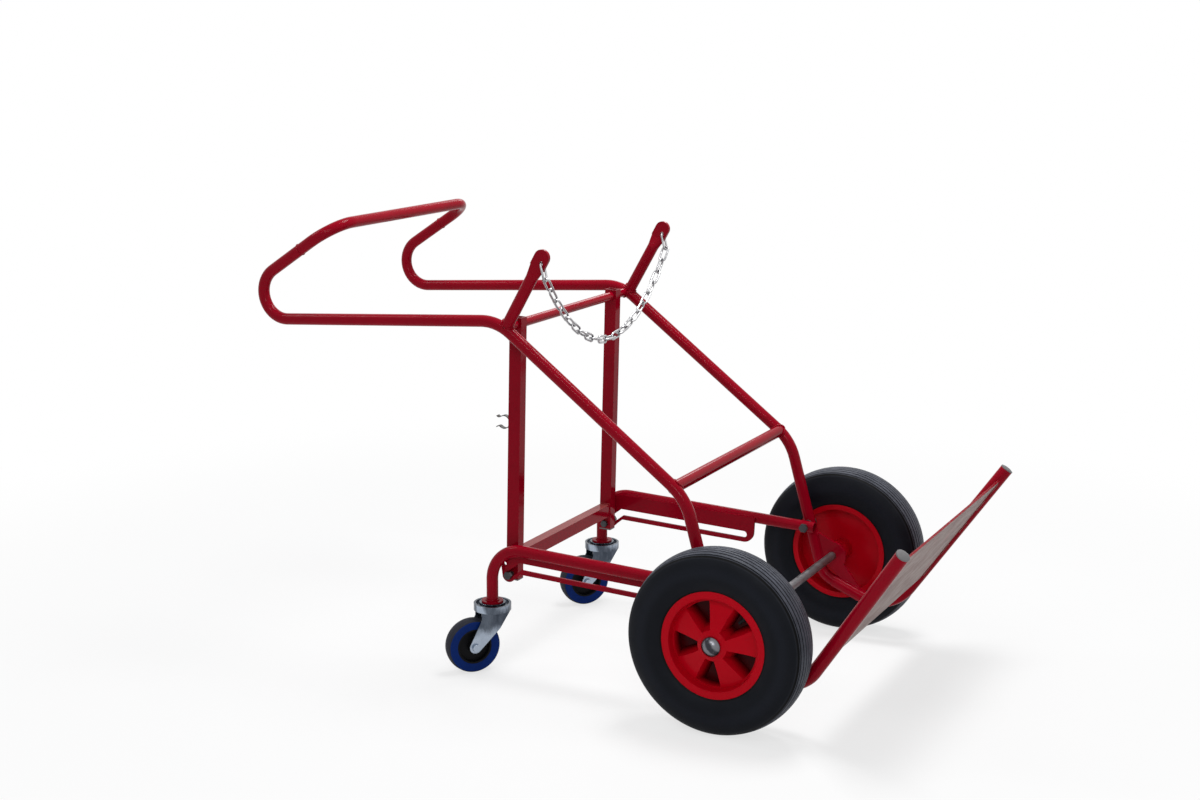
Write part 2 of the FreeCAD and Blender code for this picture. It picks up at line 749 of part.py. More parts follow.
def rim_profile(sketch):
    """Barrel, two flanges, spoked web and hub in one moulding."""
    hub_in = mm("hub_bore_radius")
    hub_out = mm("hub_radius")
    pocket = mm("bearing_radius")
    width = mm("bearing_width")
    end = mm("hub_half_length")
    half = mm("rim_half_width")
    lip = mm("rim_flange_width")
    seat = mm("rim_seat_radius")
    flange = mm("rim_flange_radius")
    inside = seat - mm("rim_wall")
    ring_inside = mm("rim_ring_radius")
    front = mm("web_outer_face")
    web_edge = mm("rim_ring_radius - web_rim_step")
    web_foot = mm("hub_radius + web_hub_foot")
    web_top = mm("web_outer_face + web_hub_rise")
    back = mm("web_back_face")
    add_outline(sketch, [
        (hub_in, -end + width), (pocket, -end + width), (pocket, -end), (hub_out, -end), (hub_out, back),
        (inside, back), (inside, -half), (flange, -half), (flange, -half + lip), (seat, -half + lip),
        (seat, half - lip), (flange, half - lip), (flange, half), (ring_inside, half), (web_edge, front),
        (web_foot, web_top), (hub_out, end), (pocket, end), (pocket, end - width), (hub_in, end - width)])


def fan_sketch(rim, name, level, near, far, root, spread):
    """A fan shaped outline at a level of the wheel, between two radii and as wide as two angles."""
    near = mm(near)
    far = mm(far)
    half = math.radians(mm(spread) / 2)
    half_root = math.radians(mm(root) / 2)
    sketch = new_sketch(rim, name, "XY_Plane", mm(level))
    add_outline(sketch, [
        (near * math.cos(half_root), -near * math.sin(half_root), near, 0),
        (far * math.cos(half), -far * math.sin(half)),
        (far * math.cos(half), far * math.sin(half), far, 0),
        (near * math.cos(half_root), near * math.sin(half_root))])
    return sketch


for side, sign in SIDES:
    seat = across(WHEEL_HALF, sign).multiply(place(axis=V(0, 0, 1), angle=mm("rim_angle")))
    tyre = new_body("wheel_tyre_" + side)
    profile = new_sketch(tyre, f"wheel_tyre_{side}_profile", "XZ_Plane")
    tyre_profile(profile)
    revolve(tyre, f"wheel_tyre_{side}_turn", profile)
    tyre.Placement = seat
    node("wheel_tyre_" + side, tyre)

    rim = new_body("wheel_rim_body_" + side)
    profile = new_sketch(rim, f"wheel_rim_{side}_profile", "XZ_Plane")
    rim_profile(profile)
    revolve(rim, f"wheel_rim_{side}_turn", profile)
    mouth = fan_sketch(rim, f"wheel_rim_{side}_mouth", "web_outer_face + web_hub_rise",
                       "pocket_inner_radius", "pocket_outer_radius", "pocket_root_angle", "pocket_angle")
    floor = fan_sketch(rim, f"wheel_rim_{side}_floor", "web_back_face + web_back_wall",
                       "pocket_floor_inner_radius", "pocket_floor_outer_radius",
                       "pocket_floor_root_angle", "pocket_floor_angle")
    hollow = rim.newObject("PartDesign::SubtractiveLoft", f"wheel_rim_{side}_pocket")
    hollow.Profile = mouth
    hollow.Sections = [floor]
    hollow.Ruled = True
    doc.recompute()
    pattern = rim.newObject("PartDesign::PolarPattern", f"wheel_rim_{side}_pockets")
    pattern.Originals = [hollow]
    pattern.Axis = (mouth, ["N_Axis"])
    pattern.Angle = 360
    bind(pattern, Occurrences="spoke_count")
    rim.Tip = pattern
    rim.Placement = seat
    valve_line = place(0, 0, mm("valve_offset"), V(0, 1, 0), -90)
    valve_hole = cylinder(f"wheel_rim_{side}_valve_hole", "valve_radius + running_clearance", "valve_length",
                          seat.multiply(place(mm("rim_seat_radius"))).multiply(valve_line))
    node("wheel_rim_" + side, cut("wheel_rim_" + side, rim, valve_hole))
    node("tyre_valve_" + side, cylinder("tyre_valve_" + side, "valve_radius", "valve_length",
                                        seat.multiply(place(mm("valve_root_radius"))).multiply(valve_line)))

    bearings = []
    for end, start in (("inner", HUB_INNER), ("outer", f"{HUB_OUTER} - bearing_width")):
        bearings.append(ring(f"wheel_bearing_{side}_{end}", "bearing_radius", BORE, "bearing_width",
                             across(mm(start), sign)))
    node("wheel_bearings_" + side, group("wheel_bearings_" + side, *bearings))

# Cylinder arms: a round tube flattened at its top, welded to the handle bend.
ARM_ANGLE = math.radians(mm("arm_angle"))
ARM_UP = V(math.cos(ARM_ANGLE), math.sin(ARM_ANGLE), 0)
ARM_AHEAD = V(math.sin(ARM_ANGLE), -math.cos(ARM_ANGLE), 0)
ARM_BASE = HANDLE_CORNER + V(mm("arm_base_ahead"), -mm("arm_base_drop"), 0)
ARM_HOLE = ARM_BASE + ARM_UP * mm("arm_hole_along") + ARM_AHEAD * mm("arm_hole_ahead")
for side, sign in SIDES:
    arm = new_body("cylinder_arm_body_" + side)
    levels = [0.0, mm("arm_round_length"), mm("arm_round_length + arm_flatten_length")]
    round_section = new_sketch(arm, f"cylinder_arm_{side}_round", "XY_Plane")
    add_circle(round_section, "outside", 0, 0, "tube_od / 2")
    add_circle(round_section, "inside", 0, 0, "tube_od / 2 - tube_wall")
    pad(arm, f"cylinder_arm_{side}_tube", round_section, "arm_round_length", middle=False)
    lower = new_sketch(arm, f"cylinder_arm_{side}_lower", "XY_Plane", levels[1])
    r = TUBE_RADIUS
    d = r * math.sqrt(0.5)
    add_outline(lower, [(d, d, r, 0), (-d, d, 0, r), (-d, -d, -r, 0), (d, -d, 0, -r)])
    upper = new_sketch(arm, f"cylinder_arm_{side}_upper", "XY_Plane", levels[2])
    wide = mm("arm_flat_width / 2")
    thin = mm("arm_flat_thickness / 2")
    edge = wide - thin
    add_outline(upper, [(edge, thin, wide, 0), (-edge, thin), (-edge, -thin, -wide, 0), (edge, -thin)])
    loft = arm.newObject("PartDesign::AdditiveLoft", f"cylinder_arm_{side}_flattening")
    loft.Profile = lower
    loft.Sections = [upper]
    loft.Ruled = True
    doc.recompute()
    flat = new_sketch(arm, f"cylinder_arm_{side}_flat", "XZ_Plane")
    top = mm("arm_length")
    bend_at = top - wide
    add_outline(flat, [(wide, levels[2]), (wide, bend_at), (-wide, bend_at, 0, top), (-wide, levels[2])])
    pad(arm, f"cylinder_arm_{side}_tongue", flat, "arm_flat_thickness")
    arm.Placement = place(ARM_BASE.x, sign * FRAME_HALF, ARM_BASE.y, V(0, 1, 0), 90 - mm("arm_angle"))
    pin_hole = cross_cylinder(f"cylinder_arm_{side}_hole", "arm_hole_radius",
                              "4 * arm_flat_thickness", ARM_HOLE.x, ARM_HOLE.y, sign * FRAME_HALF)
    node("cylinder_arm_" + side, cut("cylinder_arm_" + side, arm, envelopes[side], pin_hole))


# End links through the arm holes, and the chain that hangs between them.
def ring_link(length, width, wire):
    """A welded link lying in the xy plane, its long way along x."""
    bend = (width - wire) / 2
    half = length / 2 - width / 2
    path = Part.Wire([
        Part.LineSegment(V(-half, -bend, 0), V(half, -bend, 0)).toShape(),
        Part.Arc(V(half, -bend, 0), V(half + bend, 0, 0), V(half, bend, 0)).toShape(),
        Part.LineSegment(V(half, bend, 0), V(-half, bend, 0)).toShape(),
        Part.Arc(V(-half, bend, 0), V(-half - bend, 0, 0), V(-half, -bend, 0)).toShape()])
    section = Part.Wire([Part.Circle(V(-half, -bend, 0), V(1, 0, 0), wire / 2).toShape()])
    return path.makePipeShell([section], True, False)


def catenary_points(half_span, count, step):
    """Joints of a chain of equal steps that hangs between two points of one height."""
    half_length = count * step / 2
    low, high = half_span / 20, half_span * 20
    for _ in range(80):
        guess = (low + high) / 2
        if guess * math.sinh(half_span / guess) > half_length:
            low = guess
        else:
            high = guess
    joints = []
    for number in range(count + 1):
        run = number * step - half_length
        y = guess * math.asinh(run / guess)
        joints.append(V(0, y, guess * (math.cosh(y / guess) - math.cosh(half_span / guess))))
    return joints


wire = mm("link_wire")
link_length = mm("link_pitch + 2 * link_wire")
link_step = mm("link_pitch - link_play")
hanging_joints = catenary_points(FRAME_HALF, int(mm("link_count")), link_step)

# The chain's first link rests on the far end of the end link: its wire lies right above that wire.
end_lean = math.radians(mm("end_link_angle"))
end_reach = mm("link_pitch + link_wire - end_link_shift")
steepness = (hanging_joints[0].z - hanging_joints[1].z) / link_step
seat_height = mm("link_wire + link_play") * (1 - steepness / 2) + mm("end_link_play")
chain_start = V(ARM_HOLE.x + end_reach * math.sin(end_lean), 0,
                ARM_HOLE.y - end_reach * math.cos(end_lean) + seat_height)
joints = [chain_start + p for p in hanging_joints]
links = []
for number, (start, end) in enumerate(zip(joints, joints[1:])):
    along = (end - start).normalize()
    across_link = V(1, 0, 0) if number % 2 == 0 else along.cross(V(1, 0, 0))
    link = ring_link(link_length, mm("link_width"), wire)
    link.Placement = FreeCAD.Placement((start + end) / 2,
                                       FreeCAD.Rotation(along, across_link, V(0, 0, 0), "XYZ"))
    links.append(link)
chain = doc.addObject("Part::Feature", "retaining_chain")
chain.Shape = Part.makeCompound(links)
node("retaining_chain", chain)

end_links = []
end_middle = mm("(link_pitch + link_wire) / 2 - end_link_shift")
for sign in (-1, 1):
    link = ring_link(link_length, mm("link_width"), wire)
    link.Placement = FreeCAD.Placement(
        V(ARM_HOLE.x + end_middle * math.sin(end_lean), sign * FRAME_HALF,
          ARM_HOLE.y - end_middle * math.cos(end_lean)),
        FreeCAD.Rotation(V(math.sin(end_lean), 0, -math.cos(end_lean)), V(0, 1, 0), V(0, 0, 0), "XYZ"))
    end_links.append(link)
chain_ends = doc.addObject("Part::Feature", "chain_end_links")
chain_ends.Shape = Part.makeCompound(end_links)
node("chain_end_links", chain_ends)

# Castor arms: a bent tube that runs back from its pivot beside the leg, then down to the castor.
TILT = math.radians(mm("castor_arm_angle"))
BACK = V(-math.cos(TILT), math.sin(TILT), 0)
OVER = V(math.sin(TILT), math.cos(TILT), 0)


def arm_point(along, above):
    """A point of the side view, from its distances back along the castor arm and above its middle."""
    return ARM_PIVOT + BACK * along + OVER * above


CASTOR_HALF = mm(ARM_LINE)
elbow = arm_point(mm("seat_along + stem_behind"), 0)
STEM_X = elbow.x
nose_end = arm_point(-mm("castor_arm_nose"), 0)
ARM_CORNERS = [(nose_end.x, nose_end.y), (elbow.x, elbow.y), (STEM_X, mm("stem_foot_z"))]
for side, sign in SIDES:
    arm = bent_tube("castor_arm_" + side, ARM_CORNERS, ["castor_arm_bend"], "tube_od", "tube_wall")
    hole = new_sketch(arm, f"castor_arm_{side}_hole", "XZ_Plane")
    add_circle(hole, "bore", ARM_PIVOT.x, ARM_PIVOT.y, "pivot_bolt_diameter / 2 + running_clearance")
    cut_through(arm, f"castor_arm_{side}_bore", hole)
    arm.Placement = place(y=sign * CASTOR_HALF)
    node("castor_arm_" + side, arm)
    node("castor_flange_" + side,
         ring("castor_flange_" + side, "flange_radius", "kingpin_diameter / 2", "flange_thickness",
              place(STEM_X, sign * CASTOR_HALF, mm("stem_foot_z - flange_thickness"))))

# Slotted plates, welded flat along the inner side of the castor arms.
plate_rise = mm("plate_rise")
foot = mm("plate_foot")
front = mm("plate_front")
corner = mm("plate_corner")
corner_cut = corner * (1 - CORNER_BLEND)
rear = mm("seat_along + plate_tail")
bend = mm("castor_arm_bend")
bend_start = mm("seat_along + stem_behind") - bend * math.tan((math.pi / 2 + TILT) / 2)
seat_at = V(mm("seat_along"), mm("seat_above"), 0)
lobe = mm("lobe_radius")
half_slot = mm("slot_width / 2")
slot_line = mm("slot_line")
slot_front = mm("slot_front")
slot_bend = V(mm("seat_along - slot_hook"), slot_line, 0)


def arm_outline(steps):
    """Outline steps given along and above the arm, as steps of the side view."""
    turned = []
    for step in steps:
        point = arm_point(*step[:2])
        middle = [arm_point(*step[2:])] if len(step) == 4 else []
        turned.append(tuple(c for p in [point] + middle for c in (p.x, p.y)))
    return turned


def bend_point(along):
    """A point of the plate's top edge where it follows the bend of the arm."""
    radius = bend + plate_rise
    return (along, math.sqrt(radius ** 2 - (along - bend_start) ** 2) - bend)


def lobe_point(angle):
    """A point of the round lobe under the seat, its angle counted from the rear."""
    turned = math.radians(angle)
    return (seat_at.x + lobe * math.cos(turned), seat_at.y + lobe * math.sin(turned))


def hook_steps():
    """The slot's hooked end: down one side of it, round the seat and back up to the straight slot."""
    hook = (seat_at - slot_bend).normalize()
    side = V(-hook.y, hook.x, 0)
    level = V(0, 1, 0)
    mitre = (side + level) / (1 + side.dot(level)) * half_slot
    upper = seat_at + side * half_slot
    lower = seat_at - side * half_slot
    end = seat_at + hook * half_slot
    below = slot_bend - mitre
    above = slot_bend + mitre
    return [(below.x, below.y), (lower.x, lower.y), (upper.x, upper.y, end.x, end.y), (above.x, above.y)]


lobe_front = mm("lobe_front_angle")
lobe_rear = mm("lobe_rear_angle")
PLATE_OUTLINE = [
    (front, plate_rise), (front, foot + corner),
    (front + corner, foot, front + corner_cut, foot + corner_cut),
    (mm("seat_along - lobe_radius - lobe_blend"), foot), lobe_point(lobe_front),
    lobe_point(lobe_rear) + lobe_point((lobe_front + lobe_rear) / 2),
    (rear, seat_at.y + lobe), bend_point(rear),
    (bend_start, plate_rise) + bend_point((bend_start + rear) / 2)]
SLOT_OUTLINE = [
    (slot_front + half_slot, slot_line + half_slot),
    (slot_front + half_slot, slot_line - half_slot, slot_front, slot_line)] + hook_steps()
for side, sign in SIDES:
    body = new_body("slot_plate_" + side)
    outline = new_sketch(body, f"slot_plate_{side}_outline", "XZ_Plane")
    add_outline(outline, arm_outline(PLATE_OUTLINE))
    pad(body, f"slot_plate_{side}_pad", outline, "slot_plate_thickness")
    slot = new_sketch(body, f"slot_plate_{side}_slot", "XZ_Plane")
    add_outline(slot, arm_outline(SLOT_OUTLINE))
    cut_through(body, f"slot_plate_{side}_slot_cut", slot)
    hole = new_sketch(body, f"slot_plate_{side}_hole", "XZ_Plane")
    centre = arm_point(mm("seat_along + small_hole_behind"), mm("small_hole_above"))
    add_circle(hole, "bore", centre.x, centre.y, "small_hole_radius")
    cut_through(body, f"slot_plate_{side}_hole_cut", hole)
    body.Placement = place(y=sign * mm(f"{PLATE_FACE} + slot_plate_thickness / 2"))
    node("slot_plate_" + side, body)


def outward(x, y, z, sign):
    """The placement at a point of the side view whose z axis points outwards across the cart."""
    return place(x, sign * y, z, V(1, 0, 0), -90 * sign)


def hexagon(name, radius, height, placement):
    """A nut or bolt head, its radius measured to the corners."""
    prism = doc.addObject("Part::Prism", name)
    prism.Polygon = 6
    bind(prism, Circumradius=radius, Height=height)
    prism.Placement = placement
    return prism


# Pivot bolts of the castor arms: a domed head outside the leg, a nut inside the arm.
LEG_FACE = "frame_half + tube_od / 2"
ARM_FACE = f"{ARM_LINE} - tube_od / 2"
bolts = []
pads = []
for side, sign in SIDES:
    head = cylinder(f"arm_bolt_{side}_head", "pivot_head_radius", "pivot_head_height",
                    outward(ARM_PIVOT.x, mm(LEG_FACE), ARM_PIVOT.y, sign))
    shank = cylinder(f"arm_bolt_{side}_shank", "pivot_bolt_diameter / 2",
                     f"{LEG_FACE} - ({ARM_FACE}) + slot_nut_height + pivot_head_height",
                     outward(ARM_PIVOT.x, mm(f"{ARM_FACE} - slot_nut_height"), ARM_PIVOT.y, sign))
    nut = hexagon(f"arm_bolt_{side}_nut", "pivot_nut_radius", "slot_nut_height",
                  outward(ARM_PIVOT.x, mm(f"{ARM_FACE} - slot_nut_height - turning_gap"), ARM_PIVOT.y, sign))
    bolts.append(join("arm_pivot_bolt_" + side, head, shank, nut))
    pads.append(ring("arm_pivot_washer_" + side, "pivot_washer_radius",
                     "pivot_bolt_diameter / 2 + running_clearance",
                     "arm_gap - turning_gap",
                     outward(ARM_PIVOT.x, mm(f"{ARM_LINE} + tube_od / 2 + turning_gap"), ARM_PIVOT.y, sign)))
node("arm_pivot_bolts", group("arm_pivot_bolts", *bolts))
node("arm_pivot_washers", group("arm_pivot_washers", *pads))

# Prop frame: two rectangular uprights that hang on the pivot bar, and a cross tube low between them.
seat_point = arm_point(seat_at.x, seat_at.y)
LEAN = math.degrees(math.atan2(PIVOT_X - seat_point.x, PIVOT_Z - seat_point.y))
SEAT_DROP = math.hypot(PIVOT_X - seat_point.x, PIVOT_Z - seat_point.y)
UPRIGHT_HALF = mm(UPRIGHT_LINE)


def prop_place(y=0.0):
    return place(PIVOT_X, y, PIVOT_Z, V(0, 1, 0), LEAN)


def hanging(x, y, drop, sign):
    """A placement on the prop frame whose z axis points outwards, drop below the pivot."""
    return prop_place().multiply(place(x, sign * y, -drop, V(1, 0, 0), -90 * sign))


for side, sign in SIDES:
    upright = new_body("upright_" + side)
    section = new_sketch(upright, f"upright_{side}_section", "XY_Plane", mm("upright_head"))
    add_rectangle(section, "outside", "upright_depth", "upright_width")
    add_rectangle(section, "inside", "upright_depth - 2 * upright_wall", "upright_width - 2 * upright_wall")
    pad(upright, f"upright_{side}_pad", section, f"{SEAT_DROP} + upright_foot + upright_head",
        middle=False, reverse=True)
    hole = new_sketch(upright, f"upright_{side}_hole", "XZ_Plane")
    add_circle(hole, "bore", 0, 0, "pivot_bar_od / 2 + running_clearance")
    cut_through(upright, f"upright_{side}_bore", hole)
    bolt_hole = new_sketch(upright, f"upright_{side}_bolt_hole", "XZ_Plane")
    add_circle(bolt_hole, "bore", 0, -SEAT_DROP, "slot_bolt_diameter / 2 + running_clearance")
    cut_through(upright, f"upright_{side}_bolt_bore", bolt_hole)
    upright.Placement = prop_place(sign * UPRIGHT_HALF)
    node("upright_" + side, upright)

cross = new_body("prop_cross_tube")
section = new_sketch(cross, "prop_cross_tube_section", "XZ_Plane")
add_rectangle(section, "outside", "prop_tube_depth", "prop_tube_height")
add_rectangle(section, "inside", "prop_tube_depth - 2 * prop_tube_wall",
              "prop_tube_height - 2 * prop_tube_wall")
pad(cross, "prop_cross_tube_pad", section, f"2 * ({UPRIGHT_LINE}) - upright_width")
cross.Placement = prop_place().multiply(place(z=mm("prop_tube_rise") - SEAT_DROP))
node("prop_cross_tube", cross)

INNER_FACE = f"{UPRIGHT_LINE} - upright_width / 2"
slot_bolts = []
foot_plugs = []
for side, sign in SIDES:
    shank = cylinder(f"slot_bolt_{side}_shank", "slot_bolt_diameter / 2",
                     "upright_width + slot_bolt_reach + slot_nut_height",
                     hanging(0, mm(f"{INNER_FACE} - slot_nut_height"), SEAT_DROP, sign))
    head = hexagon(f"slot_bolt_{side}_head", "slot_head_radius", "slot_nut_height",
                   hanging(0, mm(f"{INNER_FACE} - slot_nut_height"), SEAT_DROP, sign))
    slot_bolts.append(join("slot_bolt_" + side, shank, head))
    plug = doc.addObject("Part::Box", "upright_plug_" + side)
    bind(plug, Length="upright_depth", Width="upright_width", Height="foot_plug_height")
    plug.Placement = prop_place().multiply(
        place(-mm("upright_depth") / 2, sign * UPRIGHT_HALF - mm("upright_width") / 2,
              -SEAT_DROP - mm("upright_foot + foot_plug_height")))
    foot_plugs.append(plug)
node("slot_bolts", group("slot_bolts", *slot_bolts))
node("upright_plugs", group("upright_plugs", *foot_plugs))

# The nuts stay on the slotted plates, outside the pin seats.
for side, sign in SIDES:
    nut = hexagon("slot_nut_" + side, "slot_nut_radius", "slot_nut_height",
                  outward(seat_point.x, mm(ARM_FACE), seat_point.y, sign))
    node("slot_nut_" + side, nut)

# Spring clip on the rear face of the right upright, with its screw.
clip_drop = mm("clip_drop")
strip = mm("clip_strip")
inner = mm("clip_radius")
outer = inner + strip
opening = math.radians(mm("clip_opening_angle"))
lip = mm("clip_lip_radius")
sweep = math.radians(mm("clip_lip_angle"))


def polar(centre, radius, angle):
    return (centre[0] + radius * math.cos(angle), centre[1] + radius * math.sin(angle))


def lip_arc(radius, sign):
    """Start, middle and end of one face of a lip that curls outwards from the jaw."""
    centre = polar((0, 0), outer + lip, sign * opening)
    start = sign * (opening + math.pi)
    return [polar(centre, radius, start - sign * sweep * part) for part in (0, 0.5, 1)]


upper_outer = lip_arc(lip, 1)
upper_inner = lip_arc(lip + strip, 1)
lower_outer = lip_arc(lip, -1)
lower_inner = lip_arc(lip + strip, -1)
clip = new_body("spring_clip")
outline = new_sketch(clip, "spring_clip_outline", "XZ_Plane")
add_outline(outline, [
    upper_outer[0] + (outer, 0), upper_outer[2] + upper_outer[1], upper_inner[2],
    upper_inner[0] + upper_inner[1], lower_inner[0] + (inner, 0), lower_inner[2] + lower_inner[1],
    lower_outer[2], lower_outer[0] + lower_outer[1]])
pad(clip, "spring_clip_pad", outline, "clip_width")
rear_face = -mm("upright_depth") / 2
clip.Placement = prop_place().multiply(place(rear_face - outer, -UPRIGHT_HALF, -clip_drop))
node("spring_clip", clip)
screw_foot = mm("clip_strip + clip_radius - sqrt(clip_radius ^ 2 - clip_screw_radius ^ 2) + clip_screw_play")
screw = cylinder("clip_screw", "clip_screw_radius", "clip_strip",
                 prop_place().multiply(place(rear_face - screw_foot, -UPRIGHT_HALF, -clip_drop,
                                             V(0, 1, 0), -90)))
node("clip_screw", screw)

# Castors: cap and kingpin on the arm, crown and fork below them, wheel behind the stem.
CROWN_TOP = "crown_foot_z + crown_thickness"
CAP_FOOT = f"{CROWN_TOP} + race_height + turning_gap"
CAP_TOP = "stem_foot_z - flange_thickness"
TRAIL = mm("castor_trail")
CASTOR_Z = mm("castor_radius")
KINGPIN_BORE = "kingpin_diameter / 2 + running_clearance"


def tangent_angle(centre, radius, point, turn):
    """Where a straight line from a point touches a circle, on the side that turn names."""
    away = point - centre
    return math.atan2(away.y, away.x) + turn * math.acos(radius / away.Length)


def fork_outline():
    """Side view of a fork leg from the stem's axis: shoulders, a knee in front, a boss round the axle."""
    top = mm("crown_foot_z + fork_sink")
    shoulder = mm("fork_shoulder_half")
    low = top - mm("fork_shoulder_drop")
    front_low = top - mm("fork_front_drop")
    knee = V(mm("fork_knee_ahead"), top - mm("fork_knee_drop"), 0)
    boss = V(-TRAIL, CASTOR_Z, 0)
    radius = mm("fork_boss")
    rear = tangent_angle(boss, radius, V(-shoulder, low, 0), 1)
    front = tangent_angle(boss, radius, knee, -1) + 2 * math.pi
    rear_point, under_point, front_point = (
        boss + V(math.cos(a), math.sin(a), 0) * radius for a in (rear, (rear + front) / 2, front))
    return [(-shoulder, top), (-shoulder, low), (rear_point.x, rear_point.y),
            (front_point.x, front_point.y, under_point.x, under_point.y), (knee.x, knee.y),
            (shoulder, front_low), (shoulder, top)]


for side, sign in SIDES:
    y = sign * CASTOR_HALF
    stem = place(STEM_X, y, axis=V(0, 0, 1), angle=mm("castor_turn"))
    node("castor_cap_" + side,
         ring("castor_cap_" + side, "race_outer", "kingpin_diameter / 2",
              f"{CAP_TOP} - ({CAP_FOOT})", place(STEM_X, y, mm(CAP_FOOT))))
    pin_foot = mm("crown_foot_z - turning_gap")
    shank = cylinder(f"castor_kingpin_{side}_shank", "kingpin_diameter / 2",
                     "stem_foot_z + kingpin_reach - crown_foot_z", place(STEM_X, y, pin_foot))
    head = hexagon(f"castor_kingpin_{side}_head", "kingpin_head_radius", "kingpin_head_height",
                   place(STEM_X, y, pin_foot - mm("kingpin_head_height")))
    node("castor_kingpin_" + side, join("castor_kingpin_" + side, shank, head))
    node("castor_race_" + side,
         ring("castor_race_" + side, "race_outer", "race_inner", "race_height",
              place(STEM_X, y, mm(CROWN_TOP))))

    crown = cylinder(f"castor_crown_{side}", "crown_radius", "crown_thickness",
                     place(STEM_X, y, mm("crown_foot_z")))
    lip_ring = ring(f"castor_crown_{side}_lip", "crown_radius", "crown_radius - crown_lip",
                    "crown_lip_height", place(STEM_X, y, mm(CROWN_TOP)))
    fork = new_body(f"castor_fork_{side}_legs")
    legs = new_sketch(fork, f"castor_fork_{side}_outline", "XZ_Plane")
    add_outline(legs, fork_outline())
    pad(fork, f"castor_fork_{side}_pad", legs, "fork_gap + 2 * fork_plate")
    between = new_sketch(fork, f"castor_fork_{side}_between", "XY_Plane")
    add_rectangle(between, "gap", "6 * crown_radius", "fork_gap")
    cut_through(fork, f"castor_fork_{side}_gap", between)
    fork.Placement = stem
    pin_bore = cylinder(f"castor_fork_{side}_bore", KINGPIN_BORE, "3 * crown_thickness",
                        place(STEM_X, y, mm("crown_foot_z - crown_thickness")))
    bolt_bore = cross_cylinder(f"castor_fork_{side}_bolt_bore",
                               "castor_bolt_diameter / 2 + running_clearance", "2 * castor_width",
                               -TRAIL, CASTOR_Z)
    bolt_bore.Placement = stem.multiply(bolt_bore.Placement)
    shell = join(f"castor_fork_{side}_shell", crown, lip_ring, fork)
    node("castor_fork_" + side, cut("castor_fork_" + side, shell, pin_bore, bolt_bore))

    half_fork = "fork_gap / 2 + fork_plate"
    shank = cross_cylinder(f"castor_bolt_{side}_shank", "castor_bolt_diameter / 2",
                           f"2 * ({half_fork} + castor_nut_height)", -TRAIL, CASTOR_Z)
    shank.Placement = stem.multiply(shank.Placement)
    head = hexagon(f"castor_bolt_{side}_head", "castor_nut_radius", "castor_nut_height",
                   stem.multiply(outward(-TRAIL, mm(half_fork), CASTOR_Z, sign)))
    nut = hexagon(f"castor_bolt_{side}_nut", "castor_nut_radius", "castor_nut_height",
                  stem.multiply(outward(-TRAIL, -mm(f"{half_fork} + castor_nut_height"), CASTOR_Z, sign)))
    node("castor_bolt_" + side, join("castor_bolt_" + side, shank, head, nut))

    seat = stem.multiply(outward(-TRAIL, 0, CASTOR_Z, sign))
    centre = new_body("castor_centre_" + side)
    profile = new_sketch(centre, f"castor_centre_{side}_profile", "XZ_Plane")
    bore = mm("castor_bolt_diameter / 2 + running_clearance")
    hub = mm("castor_hub_radius")
    hub_end = mm("fork_gap / 2 - castor_hub_play")
    rim = mm("castor_radius - castor_tread")
    web = mm("castor_web / 2")
    draft = mm("castor_draft")
    side_face = mm("castor_width / 2") - draft
    rim_in = rim - mm("castor_rim")
    add_outline(profile, [(bore, -hub_end), (hub, -hub_end), (hub + draft, -web), (rim_in, -web),
                          (rim_in + draft, -side_face), (rim, -side_face), (rim, side_face),
                          (rim_in + draft, side_face), (rim_in, web), (hub + draft, web), (hub, hub_end),
                          (bore, hub_end)])
    revolve(centre, f"castor_centre_{side}_turn", profile)
    centre.Placement = seat
    node("castor_centre_" + side, centre)
    tyre = new_body("castor_tyre_" + side)
    profile = new_sketch(tyre, f"castor_tyre_{side}_profile", "XZ_Plane")
    tread = mm("castor_radius")
    half = mm("castor_width / 2")
    shoulder = mm("castor_shoulder")
    edge = tread - mm("castor_crown")
    inner_half = half - shoulder
    corner_radius = tread - shoulder + (edge - tread + shoulder) * CORNER_BLEND
    corner_half = inner_half + shoulder * CORNER_BLEND
    add_outline(profile, [(rim, -side_face), (tread - shoulder, -half),
                          (edge, -inner_half, corner_radius, -corner_half), (edge, inner_half, tread, 0),
                          (tread - shoulder, half, corner_radius, corner_half), (rim, side_face)])
    revolve(tyre, f"castor_tyre_{side}_turn", profile)
    tyre.Placement = seat
    node("castor_tyre_" + side, tyre)


# Shift every sub-part so that the origin is on the floor under the middle of the cart's length.
doc.recompute()
overall = FreeCAD.BoundBox()
for obj in NODES.values():
    overall.add(obj.Shape.optimalBoundingBox(False))
middle_x = (overall.XMin + overall.XMax) / 2
for obj in NODES.values():
    obj.Placement = place(x=-middle_x).multiply(obj.Placement)
doc.recompute()

for obj in doc.Objects:
    if "Invalid" in obj.State or "Error" in obj.State:
        raise RuntimeError(f"{obj.Label} failed: {obj.State}")
os.makedirs("parts", exist_ok=True)
for name, obj in NODES.items():
    if obj.Shape.isNull() or not obj.Shape.isValid():
        raise RuntimeError(name + " has no valid shape")
for name, obj in NODES.items():
    obj.Shape.exportStep(os.path.join("parts", name + ".step"))
for title, spot in (("prop pivot", V(PIVOT_X, PIVOT_Z)), ("arm pivot", ARM_PIVOT), ("arm hole", ARM_HOLE),
                    ("seat", seat_point), ("stem", V(STEM_X, mm("stem_foot_z")))):
    print(f"{title} at x = {spot.x:.3f}, z = {spot.y:.3f} from the axle's foot")
print(f"{len(NODES)} nodes, axle at x = {-middle_x:.3f}")
print(f"length {overall.XLength:.1f}, width {overall.YLength:.1f}, height {overall.ZLength:.1f}, "
      f"lowest {overall.ZMin:.3f}")
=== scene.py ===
import json
import math

import bmesh
import bpy
from mathutils import Matrix, Vector


